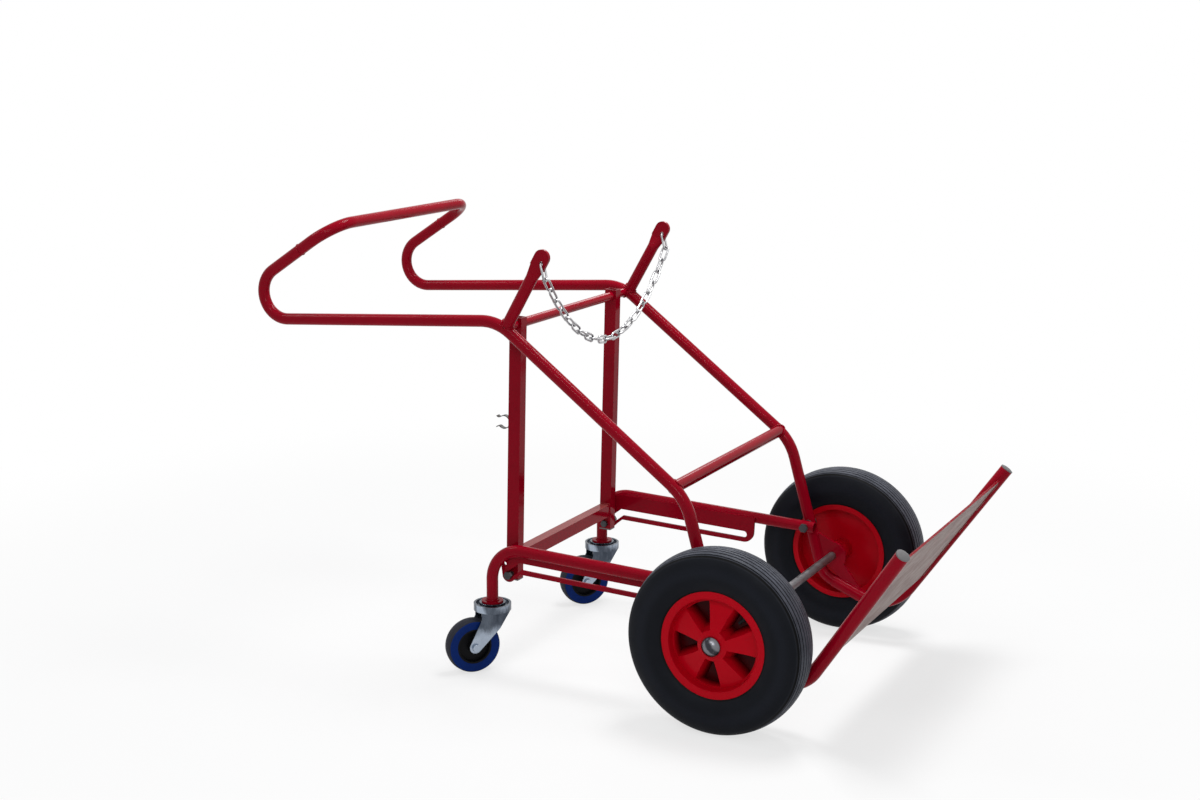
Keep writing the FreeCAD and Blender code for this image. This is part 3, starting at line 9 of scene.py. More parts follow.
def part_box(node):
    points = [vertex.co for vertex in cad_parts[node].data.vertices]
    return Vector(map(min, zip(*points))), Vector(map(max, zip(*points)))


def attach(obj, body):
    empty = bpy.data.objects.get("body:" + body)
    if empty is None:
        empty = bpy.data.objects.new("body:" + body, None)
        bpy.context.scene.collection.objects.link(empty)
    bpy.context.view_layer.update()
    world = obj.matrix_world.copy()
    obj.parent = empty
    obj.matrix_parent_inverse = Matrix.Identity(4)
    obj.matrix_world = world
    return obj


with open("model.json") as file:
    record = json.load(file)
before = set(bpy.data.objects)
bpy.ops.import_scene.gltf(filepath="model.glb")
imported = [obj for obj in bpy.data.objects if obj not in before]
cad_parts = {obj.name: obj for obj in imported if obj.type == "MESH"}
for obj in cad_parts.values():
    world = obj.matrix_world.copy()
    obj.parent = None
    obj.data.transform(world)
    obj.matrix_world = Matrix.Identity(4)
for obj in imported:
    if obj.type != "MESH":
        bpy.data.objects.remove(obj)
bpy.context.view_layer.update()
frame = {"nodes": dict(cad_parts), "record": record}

NODES = frame["nodes"]
SIDES = (("right", -1), ("left", 1))
LEFTWARD = Vector((0, 1, 0))
UPWARD = Vector((0, 0, 1))

# Places are measured from the middle of the axle (x), the middle of the cart (y) and the floor (z).
axle_low, axle_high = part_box("axle")
AXLE_X = (axle_low.x + axle_high.x) / 2


def at(x, y, z):
    """The place in the frame of a point that is measured from the axle."""
    return Vector((AXLE_X + x, y, z))


def side_view(x, z):
    """A point of the side view, on the middle plane of the cart."""
    return at(x, 0.0, z)


def aside(point, y):
    """A point of the side view, moved across the cart."""
    return Vector((point.x, y, point.z))


def centre(node):
    """The middle of a solid's box."""
    low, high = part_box(node)
    return (low + high) / 2


def heading(degrees):
    """A direction of the side view, turned up from straight ahead."""
    turned = math.radians(degrees)
    return Vector((math.cos(turned), 0.0, math.sin(turned)))


def square_to(direction):
    """The direction of the side view a quarter turn on from another one."""
    return Vector((-direction.z, 0.0, direction.x))


# Directions of the frame in the side view, as the solids have them.
SLOPE = Vector((0.4578, 0.0, -0.3431)).normalized()
OVER_SLOPE = square_to(SLOPE)
RISE = Vector((-0.3659, 0.0, -0.2430)).normalized()
LEG = Vector((0.27618, 0.0, -0.96112))
AHEAD_OF_LEG = square_to(LEG)
LOW_RUN = Vector((0.92567, 0.0, -0.37834))
OVER_RUN = square_to(LOW_RUN)
TOE = heading(56.25)
AHEAD_OF_TOE = -square_to(TOE)
CYLINDER_ARM = heading(60.8)
AHEAD_OF_ARM = -square_to(CYLINDER_ARM)
CASTOR_ARM = heading(180.0 - 2.06)
OVER_CASTOR_ARM = -square_to(CASTOR_ARM)

# Sizes, in metres.
TUBE_R = 0.01345
PIVOT_BAR_R = 0.01065
FRAME_HALF = 0.3054
PIVOT_BAR = side_view(-0.562, 0.800)
KNEE_BAR = side_view(-0.144, 0.493)

# The wheels. The pockets between the spokes, which are darkened with painted shade, are measured out from
# the wheel's middle plane.
tyre_low, tyre_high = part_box("wheel_tyre_right")
WHEEL_R = (tyre_high.z - tyre_low.z) / 2
WHEEL_MIDDLE = side_view(0.0, WHEEL_R)
WHEEL_HALF = (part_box("wheel_tyre_left")[0].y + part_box("wheel_tyre_left")[1].y) / 2
TREAD_HALF = 0.040
TREAD_DROP = 0.008
GROOVE_START = 0.0003
GROOVE_FLOOR = 0.0012
POCKET_MOUTH = 0.0250
POCKET_FLOOR = -0.0020
POCKET_BACK = -0.0050
POCKET_REACH = 0.0955
MOULD_RING = 0.0030
CASTOR_TURN = math.radians(50.0)
CASTOR_TREAD_R = 0.0592


class Shader:
    """A material's node tree, with short calls for the nodes that the finishes share."""

    def __init__(self, name):
        self.material = bpy.data.materials.new(name)
        self.material.use_nodes = True
        self.tree = self.material.node_tree
        self.tree.nodes.clear()
        self.surface = self.tree.nodes.new("ShaderNodeBsdfPrincipled")
        output = self.tree.nodes.new("ShaderNodeOutputMaterial")
        self.tree.links.new(self.surface.outputs["BSDF"], output.inputs["Surface"])
        self.place = self.tree.nodes.new("ShaderNodeTexCoord").outputs["Object"]

    def put(self, socket, value):
        """Links an output to an input, or sets the input to a plain value."""
        if isinstance(value, bpy.types.NodeSocket):
            self.tree.links.new(value, socket)
        elif isinstance(value, (tuple, list)) and len(value) == 3 and socket.type == "RGBA":
            socket.default_value = (*value, 1.0)
        else:
            socket.default_value = value

    def set(self, **inputs):
        """Sets inputs of the surface, named with underscores for spaces."""
        for name, value in inputs.items():
            self.put(self.surface.inputs[name.replace("_", " ")], value)

    def math(self, operation, a, b=0.0, clamp=False):
        """Arithmetic on one or two numbers."""
        made = self.tree.nodes.new("ShaderNodeMath")
        made.operation = operation
        made.use_clamp = clamp
        self.put(made.inputs[0], a)
        self.put(made.inputs[1], b)
        return made.outputs[0]

    def times(self, a, b):
        return self.math("MULTIPLY", a, b)

    def plus(self, a, b):
        return self.math("ADD", a, b)

    def minus(self, a, b):
        return self.math("SUBTRACT", a, b)

    def vector(self, operation, a, b=None):
        """Arithmetic on one or two vectors, as a node."""
        made = self.tree.nodes.new("ShaderNodeVectorMath")
        made.operation = operation
        self.put(made.inputs[0], a)
        if b is not None:
            self.put(made.inputs[1], b)
        return made

    def scaled(self, scale):
        """Object coordinates times a factor for each axis."""
        made = self.tree.nodes.new("ShaderNodeMapping")
        made.inputs["Scale"].default_value = scale
        self.put(made.inputs["Vector"], self.place)
        return made.outputs["Vector"]

    def noise(self, scale, detail=3.0, rough=0.55, place=None, distortion=0.0):
        """Cloudy values round 0.5."""
        made = self.tree.nodes.new("ShaderNodeTexNoise")
        self.put(made.inputs["Vector"], place or self.place)
        made.inputs["Scale"].default_value = scale
        made.inputs["Detail"].default_value = detail
        made.inputs["Roughness"].default_value = rough
        made.inputs["Distortion"].default_value = distortion
        return made.outputs["Fac"]

    def range(self, value, low, high, to_low=0.0, to_high=1.0):
        """A soft step from to_low to to_high as the value goes from low to high."""
        made = self.tree.nodes.new("ShaderNodeMapRange")
        made.interpolation_type = "SMOOTHSTEP"
        self.put(made.inputs["Value"], value)
        made.inputs["From Min"].default_value = low
        made.inputs["From Max"].default_value = high
        made.inputs["To Min"].default_value = to_low
        made.inputs["To Max"].default_value = to_high
        return made.outputs["Result"]

    def mix(self, share, a, b):
        """Colour a, with a share of colour b."""
        made = self.tree.nodes.new("ShaderNodeMix")
        made.data_type = "RGBA"
        self.put(made.inputs["Factor"], share)
        self.put([s for s in made.inputs if s.name == "A" and s.type == "RGBA"][0], a)
        self.put([s for s in made.inputs if s.name == "B" and s.type == "RGBA"][0], b)
        return [s for s in made.outputs if s.type == "RGBA"][0]

    def rounded(self, radius):
        """Normals over edges that are rounded off by a radius."""
        made = self.tree.nodes.new("ShaderNodeBevel")
        made.samples = 6
        made.inputs["Radius"].default_value = radius
        return made.outputs["Normal"]

    def edges(self, radius=0.0015):
        """1 on the sharp outer edges, 0 on the open faces."""
        flat = self.tree.nodes.new("ShaderNodeNewGeometry").outputs["Normal"]
        same = self.vector("DOT_PRODUCT", self.rounded(radius), flat).outputs["Value"]
        return self.range(self.minus(1.0, same), 0.01, 0.12)

    def facing(self, direction):
        """How much the surface faces a direction of the frame at rest."""
        normal = self.tree.nodes.new("ShaderNodeTexCoord").outputs["Normal"]
        return self.vector("DOT_PRODUCT", normal, direction).outputs["Value"]

    def coordinate(self, axis):
        """The place along one axis of the frame at rest."""
        parts = self.tree.nodes.new("ShaderNodeSeparateXYZ")
        self.put(parts.inputs[0], self.place)
        return parts.outputs[axis]

    def outward(self):
        """Distance out from the middle plane of the wheel on that side."""
        return self.minus(self.math("ABSOLUTE", self.coordinate("Y")), WHEEL_HALF)

    def ring_distance(self, middle, axis=LEFTWARD):
        """Distance from the line through a point along a unit axis."""
        offset = self.vector("SUBTRACT", self.place, middle).outputs["Vector"]
        flat = self.vector("CROSS_PRODUCT", offset, axis).outputs["Vector"]
        return self.vector("LENGTH", flat).outputs["Value"]

    def grooves(self, middle, radius):
        """1 on the floors of the tread's grooves, which lie under the crowned tread."""
        across = self.math("DIVIDE", self.outward(), TREAD_HALF)
        crown = self.minus(radius, self.times(self.times(across, across), TREAD_DROP))
        depth = self.minus(crown, self.ring_distance(middle))
        inside = self.range(self.math("ABSOLUTE", across), 1.02, 0.98)
        return self.times(self.range(depth, GROOVE_START, GROOVE_FLOOR), inside)

    def bump(self, height, strength, soften=0.0006):
        """Relief from a height of up to a millimetre, over edges that are rounded off a little."""
        made = self.tree.nodes.new("ShaderNodeBump")
        made.inputs["Strength"].default_value = strength
        made.inputs["Distance"].default_value = 0.001
        self.put(made.inputs["Height"], height)
        if soften > 0.0:
            self.put(made.inputs["Normal"], self.rounded(soften))
        self.put(self.surface.inputs["Normal"], made.outputs["Normal"])


def enamel(name, shade=1.0, wear=1.0, chips=0.68, worn_top=None):
    """Gloss red enamel: mottled, dusty on top, chipped at the edges and rubbed in long marks.

    Under the height worn_top, the faces that look up are worn through to a dull red."""
    s = Shader(name)
    deep = (0.212 * shade, 0.0004 * shade, 0.0078 * shade)
    bright = (0.300 * shade, 0.0006 * shade, 0.0118 * shade)
    colour = s.mix(s.noise(7.0, 4.0), deep, bright)
    mottle = s.range(s.noise(60.0, 5.0, 0.7), 0.40, 0.80)
    colour = s.mix(s.times(mottle, 0.20), colour, (0.115 * shade, 0.0004, 0.0045))
    top = s.range(s.facing(UPWARD), 0.35, 1.0)
    dust = s.times(top, s.range(s.noise(38.0, 6.0, 0.7), 0.42, 0.80))
    colour = s.mix(s.times(dust, 0.018 * wear), colour, (0.34, 0.10, 0.10))
    rub = s.range(s.noise(26.0, 6.0, 0.75, s.scaled((1.0, 1.0, 3.5))), 0.68, 0.78)
    colour = s.mix(s.times(rub, 0.08 * wear), colour, (0.34, 0.03, 0.04))
    chip = s.times(s.edges(), s.range(s.noise(110.0, 4.0, 0.6), chips - 0.1, chips + 0.06))
    colour = s.mix(s.math("MULTIPLY", chip, 0.36 * wear, clamp=True), colour, (0.16, 0.060, 0.058))
    if worn_top is not None:
        grain = s.noise(30.0, 5.0, 0.7, s.scaled((1.0, 0.3, 1.0)))
        bare = s.mix(grain, (0.175, 0.020, 0.022), (0.300, 0.085, 0.078))
        low = s.range(s.coordinate("Z"), worn_top + 0.02, worn_top)
        share = s.times(s.range(s.facing(UPWARD), 0.55, 0.9), low)
        colour = s.mix(s.times(share, 0.9), colour, bare)
    shine = s.range(s.noise(22.0, 5.0, 0.6), 0.3, 0.8, 0.10, 0.17)
    rough = s.plus(shine, s.times(s.plus(dust, rub), 0.14))
    s.set(Base_Color=colour, Roughness=rough, Specular_IOR_Level=0.06)
    s.bump(s.noise(180.0, 2.0), 0.02, soften=0.0)
    return s.material


def scuffed_plate(name):
    """The toe plate: red enamel, its front face rubbed to a dull grey brown and its upper face scuffed."""
    s = Shader(name)
    red = s.mix(s.noise(9.0, 4.0), (0.20, 0.0006, 0.0070), (0.27, 0.0010, 0.0105))
    across = s.noise(24.0, 7.0, 0.72, s.scaled((1.0, 0.35, 1.0)))
    bare = s.mix(s.range(across, 0.32, 0.70), (0.155, 0.085, 0.078), (0.30, 0.235, 0.215))
    speck = s.range(s.noise(210.0, 4.0, 0.7), 0.60, 0.72)
    bare = s.mix(s.times(speck, 0.5), bare, (0.12, 0.045, 0.040))
    front = s.range(s.facing(AHEAD_OF_TOE), 0.55, 0.85)
    worn = s.times(front, s.range(s.noise(7.0, 5.0, 0.65), 0.22, 0.42))
    back = s.range(s.facing(-AHEAD_OF_TOE), 0.55, 0.85)
    scuffs = s.range(s.noise(26.0, 8.0, 0.80, s.scaled((1.0, 1.5, 1.0))), 0.46, 0.68, 0.0, 0.55)
    rim = s.times(s.edges(), 0.35)
    share = s.math("MAXIMUM", worn, s.math("MAXIMUM", s.times(back, scuffs), rim))
    scratch = s.range(s.noise(55.0, 3.0, 0.5, s.scaled((0.5, 9.0, 0.5)), 0.6), 0.60, 0.64)
    colour = s.mix(share, red, bare)
    colour = s.mix(s.times(scratch, 0.25), colour, (0.42, 0.36, 0.34))
    s.set(Base_Color=colour, Roughness=s.plus(0.34, s.times(share, 0.16)),
          Metallic=s.times(share, 0.35), Specular_IOR_Level=0.08)
    s.bump(s.noise(160.0, 5.0, 0.6), 0.16)
    return s.material


def bare_steel(name, light, dark, rough=0.34, grain=(1.0, 1.0, 1.0), spot=(0.12, 0.10, 0.08), spots=0.25,
               painted_reflection_share=0.6, rise=0.0, rise_from=0.0):
    """Plated or turned steel: light and dark stripes of painted reflection that follow the faces, brushed
    grain, clouds and dull spots.

    With a rise, the painted reflection stripes also change with the height over rise_from."""
    s = Shader(name)
    cloud = s.noise(34.0, 6.0, 0.65, s.scaled(grain))
    # Painted reflection: the light and dark stripes follow the direction each face looks, and with a rise
    # also its height. They stand in for reflections of the surroundings. The value turned is the phase of
    # these painted stripes.
    turned = s.plus(s.facing((0.74, -0.30, 0.60)), s.times(cloud, 0.45))
    turned = s.plus(turned, s.times(s.minus(s.coordinate("Z"), rise_from), rise))
    painted_reflection_band = s.plus(0.5, s.times(s.math("SINE", s.times(turned, 7.5)), 0.5))
    share = s.plus(s.times(s.range(cloud, 0.3, 0.7), 1.0 - painted_reflection_share),
                   s.times(s.range(painted_reflection_band, 0.15, 0.85), painted_reflection_share))
    colour = s.mix(share, dark, light)
    dull = s.range(s.noise(150.0, 5.0, 0.7), 0.60, 0.72)
    colour = s.mix(s.times(dull, spots), colour, spot)
    uneven = s.range(cloud, 0.25, 0.75, rough - 0.07, rough + 0.1)
    s.set(Base_Color=colour, Metallic=0.92, Roughness=s.plus(uneven, s.times(dull, 0.2)))
    s.bump(s.noise(240.0, 3.0, 0.5, s.scaled(grain)), 0.10)
    return s.material


def tyre_rubber(name, middle, radius):
    """Black rubber, greyer and dustier towards the tread, with a painted highlight ring round the middle of
    the sidewall, painted shade on the floors of the grooves and fine mould rings on the sidewall.
    """
    s = Shader(name)
    out = s.math("DIVIDE", s.ring_distance(middle), radius)
    colour = s.mix(s.noise(12.0, 6.0, 0.65), (0.0030, 0.0036, 0.0056), (0.0080, 0.0094, 0.0135))
    # Painted highlight: a soft blue grey ring round the middle of the sidewall stands in for its sheen.
    painted_sheen_ring = s.times(s.range(out, 0.70, 0.79), s.range(out, 0.90, 0.80))
    colour = s.mix(s.times(painted_sheen_ring, 0.40), colour, (0.0125, 0.0145, 0.0215))
    dusty = s.mix(s.noise(70.0, 5.0, 0.7), (0.060, 0.065, 0.082), (0.120, 0.128, 0.155))
    patches = s.range(s.noise(19.0, 6.0, 0.7), 0.2, 0.8, 0.45, 1.0)
    colour = s.mix(s.times(s.range(out, 0.925, 0.995), patches), colour, dusty)
    # Painted shade: the floors of the tread's grooves are painted darker than the rubber itself.
    colour = s.mix(s.grooves(middle, radius), colour, (0.0016, 0.0017, 0.0020))
    scuff = s.range(s.noise(40.0, 7.0, 0.8), 0.66, 0.74)
    colour = s.mix(s.times(scuff, 0.14), colour, (0.040, 0.042, 0.046))
    rings = s.math("SINE", s.times(s.ring_distance(middle), 2 * math.pi / MOULD_RING))
    wall = s.times(rings, s.range(out, 0.80, 0.84, 0.0, 0.12))
    rough = s.range(s.noise(33.0, 5.0), 0.3, 0.8, 0.42, 0.58)
    s.set(Base_Color=colour, Roughness=rough, Specular_IOR_Level=0.075)
    s.bump(s.plus(s.times(s.noise(520.0, 3.0, 0.6), 0.6), wall), 0.25)
    return s.material


def moulded(name, light, dark, rough=0.38, grain=260.0, relief=0.12, dirt=0.18, shine=0.07, pockets=None):
    """A moulded plastic or nylon, cloudy and a little dirty.

    Where pockets gives the middle of a wheel, the pockets between its spokes are darkened with painted
    shade."""
    s = Shader(name)
    colour = s.mix(s.noise(14.0, 5.0, 0.6), dark, light)
    grime = s.range(s.noise(48.0, 6.0, 0.75), 0.55, 0.75)
    colour = s.mix(s.times(grime, dirt), colour, tuple(0.35 * c for c in dark))
    rub = s.times(s.edges(0.001), s.range(s.noise(90.0, 4.0), 0.4, 0.65))
    colour = s.mix(s.times(rub, 0.25), colour, tuple(min(1.0, 1.5 * c + 0.03) for c in light))
    # Painted shade: the pockets between the spokes darken towards their floors, as shade falls in them.
    if pockets is not None:
        out = s.outward()
        sunk = s.range(out, POCKET_MOUTH, POCKET_FLOOR)
        front = s.range(out, POCKET_BACK, POCKET_BACK + 0.0015)
        inside = s.range(s.ring_distance(pockets), POCKET_REACH + 0.003, POCKET_REACH)
        deep = s.times(s.times(sunk, front), inside)
        colour = s.mix(s.times(deep, 0.93), colour, (0.018, 0.0004, 0.0012))
    s.set(Base_Color=colour, Roughness=s.plus(rough, s.times(grime, 0.15)), Specular_IOR_Level=shine)
    s.bump(s.noise(grain, 3.0, 0.6), relief)
    return s.material


def castor_rubber(name, middles, axis, tread_start):
    """Blue elastic rubber, for all castors with one axis, whose running face is rubbed grey brown."""
    s = Shader(name)
    out = s.math("MINIMUM", *[s.ring_distance(middle, axis) for middle in middles])
    blue = s.mix(s.noise(45.0, 5.0, 0.6), (0.0012, 0.0135, 0.100), (0.0030, 0.0230, 0.155))
    worn = s.mix(s.noise(110.0, 6.0, 0.75), (0.014, 0.015, 0.021), (0.034, 0.036, 0.048))
    uneven = s.plus(out, s.times(s.noise(60.0, 5.0, 0.7), 0.0022))
    tread = s.range(uneven, tread_start, tread_start + 0.0012)
    colour = s.mix(tread, blue, worn)
    scuff = s.range(s.noise(75.0, 6.0, 0.75), 0.60, 0.72)
    colour = s.mix(s.times(scuff, 0.22), colour, (0.035, 0.045, 0.080))
    s.set(Base_Color=colour, Roughness=s.plus(0.36, s.times(tread, 0.25)), Specular_IOR_Level=0.06)
    s.bump(s.noise(330.0, 4.0, 0.65), 0.2)
    return s.material


castor_middles = [centre("castor_tyre_" + side) for side, sign in SIDES]
CASTOR_AXIS = (-math.sin(CASTOR_TURN), math.cos(CASTOR_TURN), 0.0)
MATERIALS = {
    "frame_paint": enamel("frame_enamel"),
    "arm_paint": enamel("arm_enamel", shade=0.95, wear=1.2, chips=0.64),
    "prop_paint": enamel("prop_enamel", shade=0.90, wear=1.5, chips=0.62, worn_top=0.30),
    "toe_plate_paint": scuffed_plate("toe_plate_enamel"),
    "dark_plug": moulded("grey_plug", (0.200, 0.195, 0.198), (0.140, 0.136, 0.139), rough=0.5),
    # The steels below carry painted reflection stripes. They are strongest on the hub cap and the castor
    # zinc, whose stripes also change with height.
    "axle_steel": bare_steel("turned_steel", (0.30, 0.30, 0.31), (0.10, 0.10, 0.105), rough=0.38),
    "hub_cap_grey": bare_steel("dull_cap", (0.180, 0.180, 0.198), (0.024, 0.023, 0.030), rough=0.26,
                               spot=(0.30, 0.30, 0.31), spots=0.3, painted_reflection_share=0.85),
    "zinc": bare_steel("castor_zinc", (0.38, 0.44, 0.53), (0.034, 0.043, 0.060), rough=0.20,
                       grain=(1.0, 1.0, 0.35), painted_reflection_share=0.8, rise=7.0, rise_from=0.060),
    "chain_zinc": bare_steel("chain_zinc", (0.58, 0.58, 0.59), (0.16, 0.165, 0.18), rough=0.25, spots=0.30),
    "bolt_steel": bare_steel("dull_bolt_steel", (0.13, 0.13, 0.135), (0.035, 0.035, 0.038), rough=0.40),
    "clip_steel": bare_steel("clip_spring_steel", (0.065, 0.060, 0.055), (0.010, 0.010, 0.009)),
    "valve_rubber": moulded("valve_rubber", (0.016, 0.017, 0.019), (0.008, 0.009, 0.010), rough=0.5),
    "castor_centre": moulded("castor_nylon", (0.0070, 0.0072, 0.0085), (0.0030, 0.0031, 0.0038), rough=0.42),
    # The tyre and the rim below paint shade into their grooves and pockets, and the tyre paints a highlight
    # ring on its sidewall.
    "tyre_rubber": tyre_rubber("tyre_rubber", WHEEL_MIDDLE, WHEEL_R),
    "rim_red": moulded("rim_moulding", (0.500, 0.0010, 0.0098), (0.385, 0.0008, 0.0072), rough=0.24,
                       grain=180.0, relief=0.08, dirt=0.22, shine=0.055, pockets=WHEEL_MIDDLE),
    "castor_blue": castor_rubber("castor_rubber", castor_middles, CASTOR_AXIS, CASTOR_TREAD_R),
}


def paint(obj, slot):
    """Give a piece the finish of a material slot of the record."""
    obj.data.materials.clear()
    obj.data.materials.append(MATERIALS[slot])


for part in frame["record"]["subparts"]:
    paint(NODES[part["node"]], part["material_slot"])


def new_piece(name, mesh, body, slot):
    """A smooth mesh that rides on a body and takes the finish of a slot."""
    mesh.validate()
    obj = bpy.data.objects.new(name, mesh)
    bpy.context.scene.collection.objects.link(obj)
    for polygon in mesh.polygons:
        polygon.use_smooth = True
    paint(obj, slot)
    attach(obj, body)
    return obj


# Weld beads: corners of their section, length and height of the ripples, and what is left of an open end.
BEAD_SIDES = 8
RIPPLE = 0.0032
RIPPLE_HEIGHT = 0.10
SWAY = 2 * math.pi / 410.0
SWAY_HEIGHT = 0.06
END_TAPER = 0.35
BEAD_STEP = 0.0016
RING_STEPS = 72

# The radius of each kind of bead.
BAR_BEAD = 0.0022
HOOP_BEAD = 0.0012
ARM_BEAD = 0.0021
RUN_BEAD = 0.0015
PLATE_BEAD = 0.0019
GUSSET_BEAD = 0.0022
STEM_BEAD = 0.0020
SLOT_PLATE_BEAD = 0.0016
PROP_BEAD = 0.0019
RIM_LINE = 0.0009

# How far their lines stand off the surfaces that they run on.
FLUSH = 0.0002
PROUD = 0.0006
ARM_PROUD = 0.0008
STEM_PROUD = 0.0009
BAR_PROUD = 0.0010
GUSSET_PROUD = 0.00135


def turn(count):
    """Angles round a full turn."""
    return [2 * math.pi * k / count for k in range(count)]


def bead(name, points, radius, body, slot, closed=True, ripple=RIPPLE):
    """A rippled weld bead along a line of points."""
    maker = bmesh.new()
    count = len(points)
    rings = []
    travelled = 0.0
    for i, point in enumerate(points):
        before = points[i - 1] if closed or i > 0 else point
        after = points[(i + 1) % count] if closed or i < count - 1 else point
        ahead = (after - before).normalized()
        side = ahead.orthogonal().normalized()
        if i > 0:
            side = (last_side - ahead * last_side.dot(ahead)).normalized()
            travelled += (point - points[i - 1]).length
        last_side = side
        swell = (1.0 + RIPPLE_HEIGHT * math.sin(travelled / ripple * 2 * math.pi)
                 + SWAY_HEIGHT * math.sin(travelled / SWAY * 2 * math.pi))
        if not closed and i in (0, count - 1):
            swell *= END_TAPER
        other = ahead.cross(side)
        rings.append([maker.verts.new(point + (side * math.cos(a) + other * math.sin(a)) * radius * swell)
                      for a in turn(BEAD_SIDES)])
    pairs = list(zip(rings, rings[1:]))
    if closed:
        # The last ring may be turned against the first, so the nearest corners are matched.
        shift = min(range(BEAD_SIDES), key=lambda k: (rings[0][k].co - rings[-1][0].co).length)
        pairs.append((rings[-1], rings[0][shift:] + rings[0][:shift]))
    for ring, following in pairs:
        for k in range(BEAD_SIDES):
            beside = (k + 1) % BEAD_SIDES
            maker.faces.new((ring[k], ring[beside], following[beside], following[k]))
    if not closed:
        maker.faces.new(list(reversed(rings[0])))
        maker.faces.new(rings[-1])
    bmesh.ops.recalc_face_normals(maker, faces=maker.faces)
    mesh = bpy.data.meshes.new(name)
    maker.to_mesh(mesh)
    maker.free()
    return new_piece(name, mesh, body, slot)


def ring_points(middle, axis, radius, count=RING_STEPS):
    """Points round a ring."""
    side = axis.orthogonal().normalized()
    other = axis.cross(side).normalized()
    return [middle + (side * math.cos(a) + other * math.sin(a)) * radius for a in turn(count)]


def line_points(start, end):
    """Points from start to end."""
    count = max(3, int((end - start).length / BEAD_STEP))
    return [start.lerp(end, i / count) for i in range(count + 1)]


def saddle_points(middle, bar_radius, sign):
    """The line where a bar across the cart meets the inner side of a sloping side tube."""
    points = []
    for a in turn(RING_STEPS):
        offset = Vector((math.cos(a), 0.0, math.sin(a))) * (bar_radius + BAR_PROUD)
        off_axis = min(abs(offset.dot(OVER_SLOPE)), TUBE_R)
        depth = math.sqrt(TUBE_R ** 2 - off_axis ** 2)
        points.append(aside(middle + offset, sign * (FRAME_HALF - depth - PROUD)))
    return points


# Where the cross bars meet the side tubes.
for side, sign in SIDES:
    for bar, middle, bar_radius in (("pivot", PIVOT_BAR, PIVOT_BAR_R), ("knee", KNEE_BAR, TUBE_R)):
        points = saddle_points(middle, bar_radius, sign)
        bead(f"weld_{bar}_{side}", points, BAR_BEAD, "frame", "frame_paint")

# The butt joints of the handle hoop, a little below its bends.
HOOP_JOINT = side_view(-1.0044, 1.0002) + RISE * 0.110
for side, sign in SIDES:
    joint = aside(HOOP_JOINT, sign * FRAME_HALF)
    bead(f"weld_hoop_{side}", ring_points(joint, RISE, TUBE_R + FLUSH), HOOP_BEAD, "frame", "frame_paint")

# Where the cylinder arms stand on the slope of the side tubes.
ARM_BASE = side_view(-0.5500, 0.8060)
SLOPE_START = side_view(-0.5452, 0.7937)
FOOT_AHEAD = 1.04
FOOT_ASIDE = 1.02


def arm_foot_points(sign):
    """The line where the round foot of a cylinder arm meets the top of its side tube."""
    points = []
    for a in turn(RING_STEPS):
        offset = AHEAD_OF_ARM * TUBE_R * math.cos(a)
        lift = TUBE_R * abs(math.cos(a)) + ARM_PROUD - OVER_SLOPE.dot(ARM_BASE + offset - SLOPE_START)
        foot = ARM_BASE + offset * FOOT_AHEAD + CYLINDER_ARM * (lift / OVER_SLOPE.dot(CYLINDER_ARM))
        points.append(aside(foot, sign * FRAME_HALF + TUBE_R * math.sin(a) * FOOT_ASIDE))
    return points


for side, sign in SIDES:
    bead(f"weld_cylinder_arm_{side}", arm_foot_points(sign), ARM_BEAD, "frame", "frame_paint")

# Where the toe tubes take over from the side tubes, and the stitches along the edges of the toe plate.
RUN_JOINT = side_view(0.00747, 0.13714)
TOE_ORIGIN = side_view(0.0, 0.200)
TOE_LENGTH = 0.4162
TOE_END_HALF = 0.3914
TOE_FLARE = 0.19807
TOE_TUBE_ACROSS = 0.01529
PLATE_FACES = (("front", 0.1959), ("back", 0.1899))
PLATE_STITCHES = (0.106, 0.172, 0.238, 0.304, 0.352)
PLATE_STITCH = 0.032


def plate_edge(along, level, sign):
    """A point on the edge of the toe plate, at a distance along it and ahead of the axle."""
    half = TOE_END_HALF - TOE_FLARE * (TOE_LENGTH - along) - TOE_TUBE_ACROSS
    return aside(TOE_ORIGIN + TOE * along + AHEAD_OF_TOE * level, sign * (half - PROUD))


for side, sign in SIDES:
    joint = aside(RUN_JOINT - LOW_RUN * PROUD, sign * FRAME_HALF)
    bead(f"weld_run_{side}", ring_points(joint, LOW_RUN, TUBE_R + PROUD), RUN_BEAD, "frame", "frame_paint")
    for face, level in PLATE_FACES:
        for number, start in enumerate(PLATE_STITCHES):
            ends = [plate_edge(along, level, sign) for along in (start, start + PLATE_STITCH)]
            bead(f"weld_toe_{face}_{side}_{number}", line_points(*ends), PLATE_BEAD, "frame",
                 "toe_plate_paint", closed=False)

# The gusset plates, along the leg and along the low run.
KNEE = side_view(-0.1167, 0.4726)
LOW_BEND = side_view(-0.0240, 0.1500)
GUSSET_LEG = (0.2330, 0.3005)
GUSSET_RUN = (0.0480, 0.0980)
GUSSET_ASIDE = 0.0034
for side, sign in SIDES:
    for face in (-1, 1):
        y = sign * FRAME_HALF + face * GUSSET_ASIDE
        name = f"{side}_{'outer' if face == sign else 'inner'}"
        leg = [KNEE + LEG * along + AHEAD_OF_LEG * (TUBE_R - FLUSH) for along in GUSSET_LEG]
        run = [LOW_BEND + LOW_RUN * along + OVER_RUN * (TUBE_R + GUSSET_PROUD) for along in GUSSET_RUN]
        for edge, ends in (("leg", leg), ("run", run)):
            points = line_points(*[aside(end, y) for end in ends])
            bead(f"weld_gusset_{edge}_{name}", points, GUSSET_BEAD, "frame", "frame_paint", closed=False)

